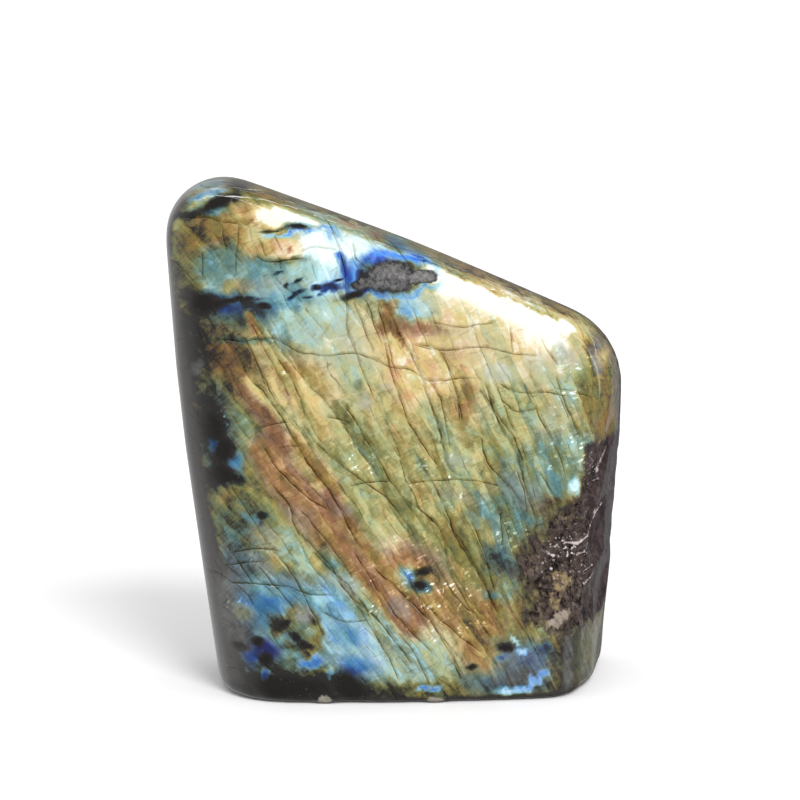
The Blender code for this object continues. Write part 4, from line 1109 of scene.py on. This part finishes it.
    # The named cracks, three sets at a time.
    waver = add("CombineXYZ", {i: mottle[i] for i in range(3)})[0]
    waver = add("VectorMath", {0: waver, 1: (1.6,) * 3, 2: (-0.8,) * 3}, operation="MULTIPLY_ADD")[0]
    thick = {"Value": flakes[2], "From Min": 0.35, "From Max": 0.65, "To Min": 2.0, "To Max": 0.8}
    thick = add("MapRange", thick)[0]
    bands = [(0.0, 0.0, 0.0)] * len(CRACK_BANDS)
    for number in range(0, CRACK_SETS, 3):
        strength = add("Attribute", attribute_name=f"crack_strengths_{number}")["Vector"]
        off = add("Attribute", attribute_name=f"crack_offs_{number}")["Vector"]
        off = add("VectorMath", {0: off, 1: thick, 2: waver}, operation="MULTIPLY_ADD")[0]
        for i, (middle, near, far) in enumerate(CRACK_BANDS):
            beside = add("VectorMath", {0: off, 1: (middle,) * 3}, operation="SUBTRACT")[0]
            beside = add("VectorMath", {0: beside}, operation="ABSOLUTE")[0]
            fading = {6: beside, 7: (near,) * 3, 8: (far,) * 3, 9: (1.0,) * 3, 10: (0.0,) * 3}
            shown = add("MapRange", fading, data_type="FLOAT_VECTOR", **smooth)[1]
            shown = add("VectorMath", {0: shown, 1: strength}, operation="MULTIPLY")[0]
            bands[i] = add("VectorMath", {0: bands[i], 1: shown}, operation="MAXIMUM")[0]
    # The length of the three sets' vector is close to the strongest of them.
    crack, shadow, edge = (add("VectorMath", {0: band}, operation="LENGTH")["Value"] for band in bands)
    worn = {"Value": patches[0], "From Min": 0.34, "From Max": 0.58, "To Min": 0.14, "To Max": 0.92}
    worn = add("Math", {0: add("MapRange", worn)[0], 1: calm}, operation="MULTIPLY")[0]
    some_lit = add("MapRange", {"Value": flakes[0], "From Min": 0.48, "From Max": 0.66})[0]
    # The lit edge is a painted highlight beside each crack.
    for band, share, tint, blend in (
        (shadow, 0.5, SHADOW, "MULTIPLY"), (crack, worn, CRACK, "MULTIPLY"),
        (edge, some_lit, CRACK_EDGE_HIGHLIGHT, "SCREEN"),
    ):
        share = add("Math", {0: band, 1: share}, operation="MULTIPLY", use_clamp=True)[0]
        tint = {"Factor": share, 6: colour, 7: linear(tint)}
        colour = add("Mix", tint, data_type="RGBA", blend_type=blend)[2]
    ink = total(marks["X"], (mottle[1], 0.5, 0.7), (patches[2], 0.5, 0.6), (streaks, 0.5, 0.5))
    colour = covered(colour, linear(INK), ink, -0.45, 0.5)
    salted = add("TexNoise", {"Vector": place, "Scale": 1500.0, "Detail": 6.0, "Roughness": 0.8})["Fac"]
    salted = total(salted, (mottle[0], 0.5, 0.7), (patches[0], 0.5, 0.5), (marks["Z"], 0.9, 0.9))
    salt = covered(linear(SPECKLE_DARK), linear(SPECKLE_LIGHT), salted, 0.27, 0.80, "LINEAR")
    colour = covered(colour, salt, total(marks["Z"], (mottle[2], 0.5, 0.8), (patches[0], 0.5, 0.5)), 0.3, 0.7)
    # The break: dark plum-brown glass with paler granular places, and painted glints and lip highlights.
    crumbled = total(crumb[0], (flakes[0], 0.5, 0.8))
    torn = covered(linear(BREAK_DARK), linear(BREAK_LIGHT), crumbled, 0.34, 0.72, "LINEAR")
    sheen = total(patches[1], (crumb[0], 0.5, 0.4))
    glass = covered(linear(BREAK_GLASS), linear(BREAK_SHEEN), sheen, 0.42, 0.62, "LINEAR")
    right = total(add("SeparateXYZ", {"Vector": place})["X"], (flakes[2], 0.5, 0.012))
    torn = covered(torn, glass, right, 0.033, 0.041)
    # Painted glints: small white sparks on the break, where the glint rows reach.
    speck = add("TexNoise", {"Vector": place, "Scale": 1500.0, "Detail": 2.0})["Fac"]
    speck = total(speck, (flakes[1], 0.5, 0.3))
    speck = add("MapRange", {"Value": speck, "From Min": 0.62, "From Max": 0.70})[0]
    speck = add("Math", {0: speck, 1: glints["X"]}, operation="MULTIPLY")[0]
    torn = add("Mix", {"Factor": speck, 6: torn, 7: linear(BREAK_GLINT)}, data_type="RGBA")[2]
    # The third share is the painted highlight along the lips of the ledges.
    for share, noisy, stirred, tone in (
        (grains["X"], crumb[1], 2.6, BREAK_TAN), (grains["Y"], crumb[2], 2.2, BREAK_PINK),
        (grains["Z"], flakes[1], 1.2, LIP_HIGHLIGHT),
    ):
        share = total(share, (noisy, 0.5, stirred), (mottle[1], 0.5, 0.8))
        torn = covered(torn, linear(tone), share, 0.30, 0.90)
    broken = total(skin["Y"], (crumb[1], 0.5, 1.6), (patches[0], 0.5, 3.0))
    broken = add("MapRange", {"Value": broken, "From Min": -0.3, "From Max": 0.9}, **smooth)[0]
    colour = add("Mix", {"Factor": broken, 6: colour, 7: torn}, data_type="RGBA")[2]
    colour = covered(colour, linear(CHIP), total(skin["Z"], (crumb[2], 0.5, 2.2)), 0.3, 0.9, "LINEAR")
    # Painted highlight: the near-white lines along the ridges, broken up like fine scratches.
    highlight_scratch = add("Math", {0: glints["Y"]}, operation="ABSOLUTE")[0]
    highlight_scratch = {"Value": highlight_scratch, "From Min": 0.2, "From Max": 0.8, "To Min": 1.0, "To Max": 0.0}
    highlight_scratch = add("MapRange", highlight_scratch)[0]
    bare = add("MapRange", {"Value": ridge[2], "From Min": 0.40, "From Max": 0.52})[0]
    for share in (glints["Z"], bare):
        highlight_scratch = add("Math", {0: highlight_scratch, 1: share}, operation="MULTIPLY")[0]
    colour = add("Mix", {"Factor": highlight_scratch, 6: colour, 7: linear(HIGHLIGHT_SCRATCH)}, data_type="RGBA")[2]
    roughness = add("MapRange", {"Value": broken, "To Min": 0.08, "To Max": 0.18})[0]
    grit = add("Math", {0: crumb[1], 1: broken}, operation="MULTIPLY")[0]
    bump = add("Bump", {"Height": grit, "Strength": 0.25, "Distance": 0.0003})["Normal"]
    polish = {"Base Color": colour, "Roughness": roughness, "IOR": 1.56, "Normal": bump}
    add("OutputMaterial", {"Surface": add("BsdfPrincipled", polish)["BSDF"]})
    return material


def studio_floor():
    """Seamless white card with a matt coating, which gives a soft grey shadow."""
    material = new_material("matt_white_studio_card")
    coating = {"Base Color": linear("#f4f3f4"), "Roughness": 0.9, "Specular IOR Level": 0.1}
    shader = add_node(material.node_tree, "BsdfPrincipled", coating)["BSDF"]
    add_node(material.node_tree, "OutputMaterial", {"Surface": shader})
    return material


# ---------------------------------------------------------------- camera, floor and light

TARGET = Vector((0.9, 0.0, 54.7)) * MM
DISTANCE, ELEVATION, LENS, SENSOR = 592.6 * MM, 11.0, 140.0, 36.0
LIGHTS = (  # name, azimuth, elevation, distance, width, height, watts
    ("top strip", -20, 60, 0.8, 0.9, 0.012, 0.8),
    ("side strip", 62, 16, 0.8, 0.10, 0.6, 0.6),
    ("back card", 150, 2, 0.8, 0.2, 1.0, 0.16),
)
KEY_AZIMUTH, KEY_ELEVATION, KEY_SPREAD, KEY_STRENGTH = 24.0, 46.0, 22.0, 1.7
SKY = 0.85  # the white sweep's light on the stone and the floor
MIRRORED_AHEAD = 0.05  # the polish mirrors black flags round the lens
MIRRORED_BEHIND = 0.75  # and the white sweep behind
MIRRORED_SIDE = (-0.9, 0.44, 0.0)  # brightest behind on the left


def put(name, data, azimuth, elevation, distance):
    """An object that is aimed at the stone. Azimuth 0 is in front of it, and 90 on its right."""
    thing = bpy.data.objects.new(name, data)
    bpy.context.scene.collection.objects.link(thing)
    a, e = math.radians(azimuth), math.radians(elevation)
    away = Vector((math.sin(a) * math.cos(e), -math.cos(a) * math.cos(e), math.sin(e)))
    thing.location = TARGET + distance * away
    thing.rotation_euler = (TARGET - thing.location).to_track_quat("-Z", "Y").to_euler()
    return thing


def place_camera():
    camera = put("camera", bpy.data.cameras.new("camera"), 0, ELEVATION, DISTANCE)
    camera.data.lens, camera.data.sensor_width = LENS, SENSOR
    camera.data.clip_start, camera.data.clip_end = 0.01, 50.0
    bpy.context.scene.camera = camera


def place_floor():
    bpy.ops.object.select_all(action="DESELECT")
    bpy.ops.mesh.primitive_plane_add(size=12.0, location=(0, 0, 0))
    floor = bpy.context.object
    floor.name = "studio_floor"
    floor.data.materials.append(studio_floor())
    floor.visible_glossy = False


def place_lights():
    for name, azimuth, elevation, distance, width, height, watts in LIGHTS:
        data = bpy.data.lights.new(name, "AREA")
        data.shape, data.size, data.size_y, data.energy = "RECTANGLE", width, height, watts
        lamp = put(name, data, azimuth, elevation, distance)
        lamp.visible_diffuse = name != "back card"  # which is only mirrored, in the right-hand wall
    data = bpy.data.lights.new("key softbox", "SUN")
    data.angle, data.energy = math.radians(KEY_SPREAD), KEY_STRENGTH
    put("key softbox", data, KEY_AZIMUTH, KEY_ELEVATION, 1.0).visible_glossy = False


def place_sky():
    world = bpy.data.worlds.new("white studio")
    world.use_nodes = True
    add = functools.partial(add_node, world.node_tree)
    way = add("TexCoord")["Generated"]
    back = add("VectorMath", {0: way, 1: MIRRORED_SIDE}, operation="DOT_PRODUCT")["Value"]
    mirrored = {"Value": back, "To Min": MIRRORED_AHEAD, "To Max": MIRRORED_BEHIND}
    mirrored = add("MapRange", mirrored, interpolation_type="SMOOTHSTEP")[0]
    strength = add("Mix", {"Factor": add("LightPath")["Is Glossy Ray"], 2: SKY, 3: mirrored})[0]
    sky = world.node_tree.nodes["Background"]
    sky.inputs["Color"].default_value = linear("#ffffff")
    world.node_tree.links.new(strength, sky.inputs["Strength"])
    bpy.context.scene.world = world
    bpy.context.scene.view_settings.view_transform = "Standard"


noise.seed_set(NOISE_SEED)  # without it the wandering outlines differ at each run
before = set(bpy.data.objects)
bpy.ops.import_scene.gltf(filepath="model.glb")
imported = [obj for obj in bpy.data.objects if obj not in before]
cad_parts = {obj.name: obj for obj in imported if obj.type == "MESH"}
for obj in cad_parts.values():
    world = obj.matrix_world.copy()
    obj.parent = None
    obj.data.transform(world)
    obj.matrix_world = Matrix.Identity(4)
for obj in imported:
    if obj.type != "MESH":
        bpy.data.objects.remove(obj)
cad_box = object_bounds()
stone = make_stone(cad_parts[NODE], cad_box)
hold_marks(stone)
stone.data.materials.append(labradorite())
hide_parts(NODE)
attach(stone, "root")
place_camera()
place_floor()
place_lights()
place_sky()
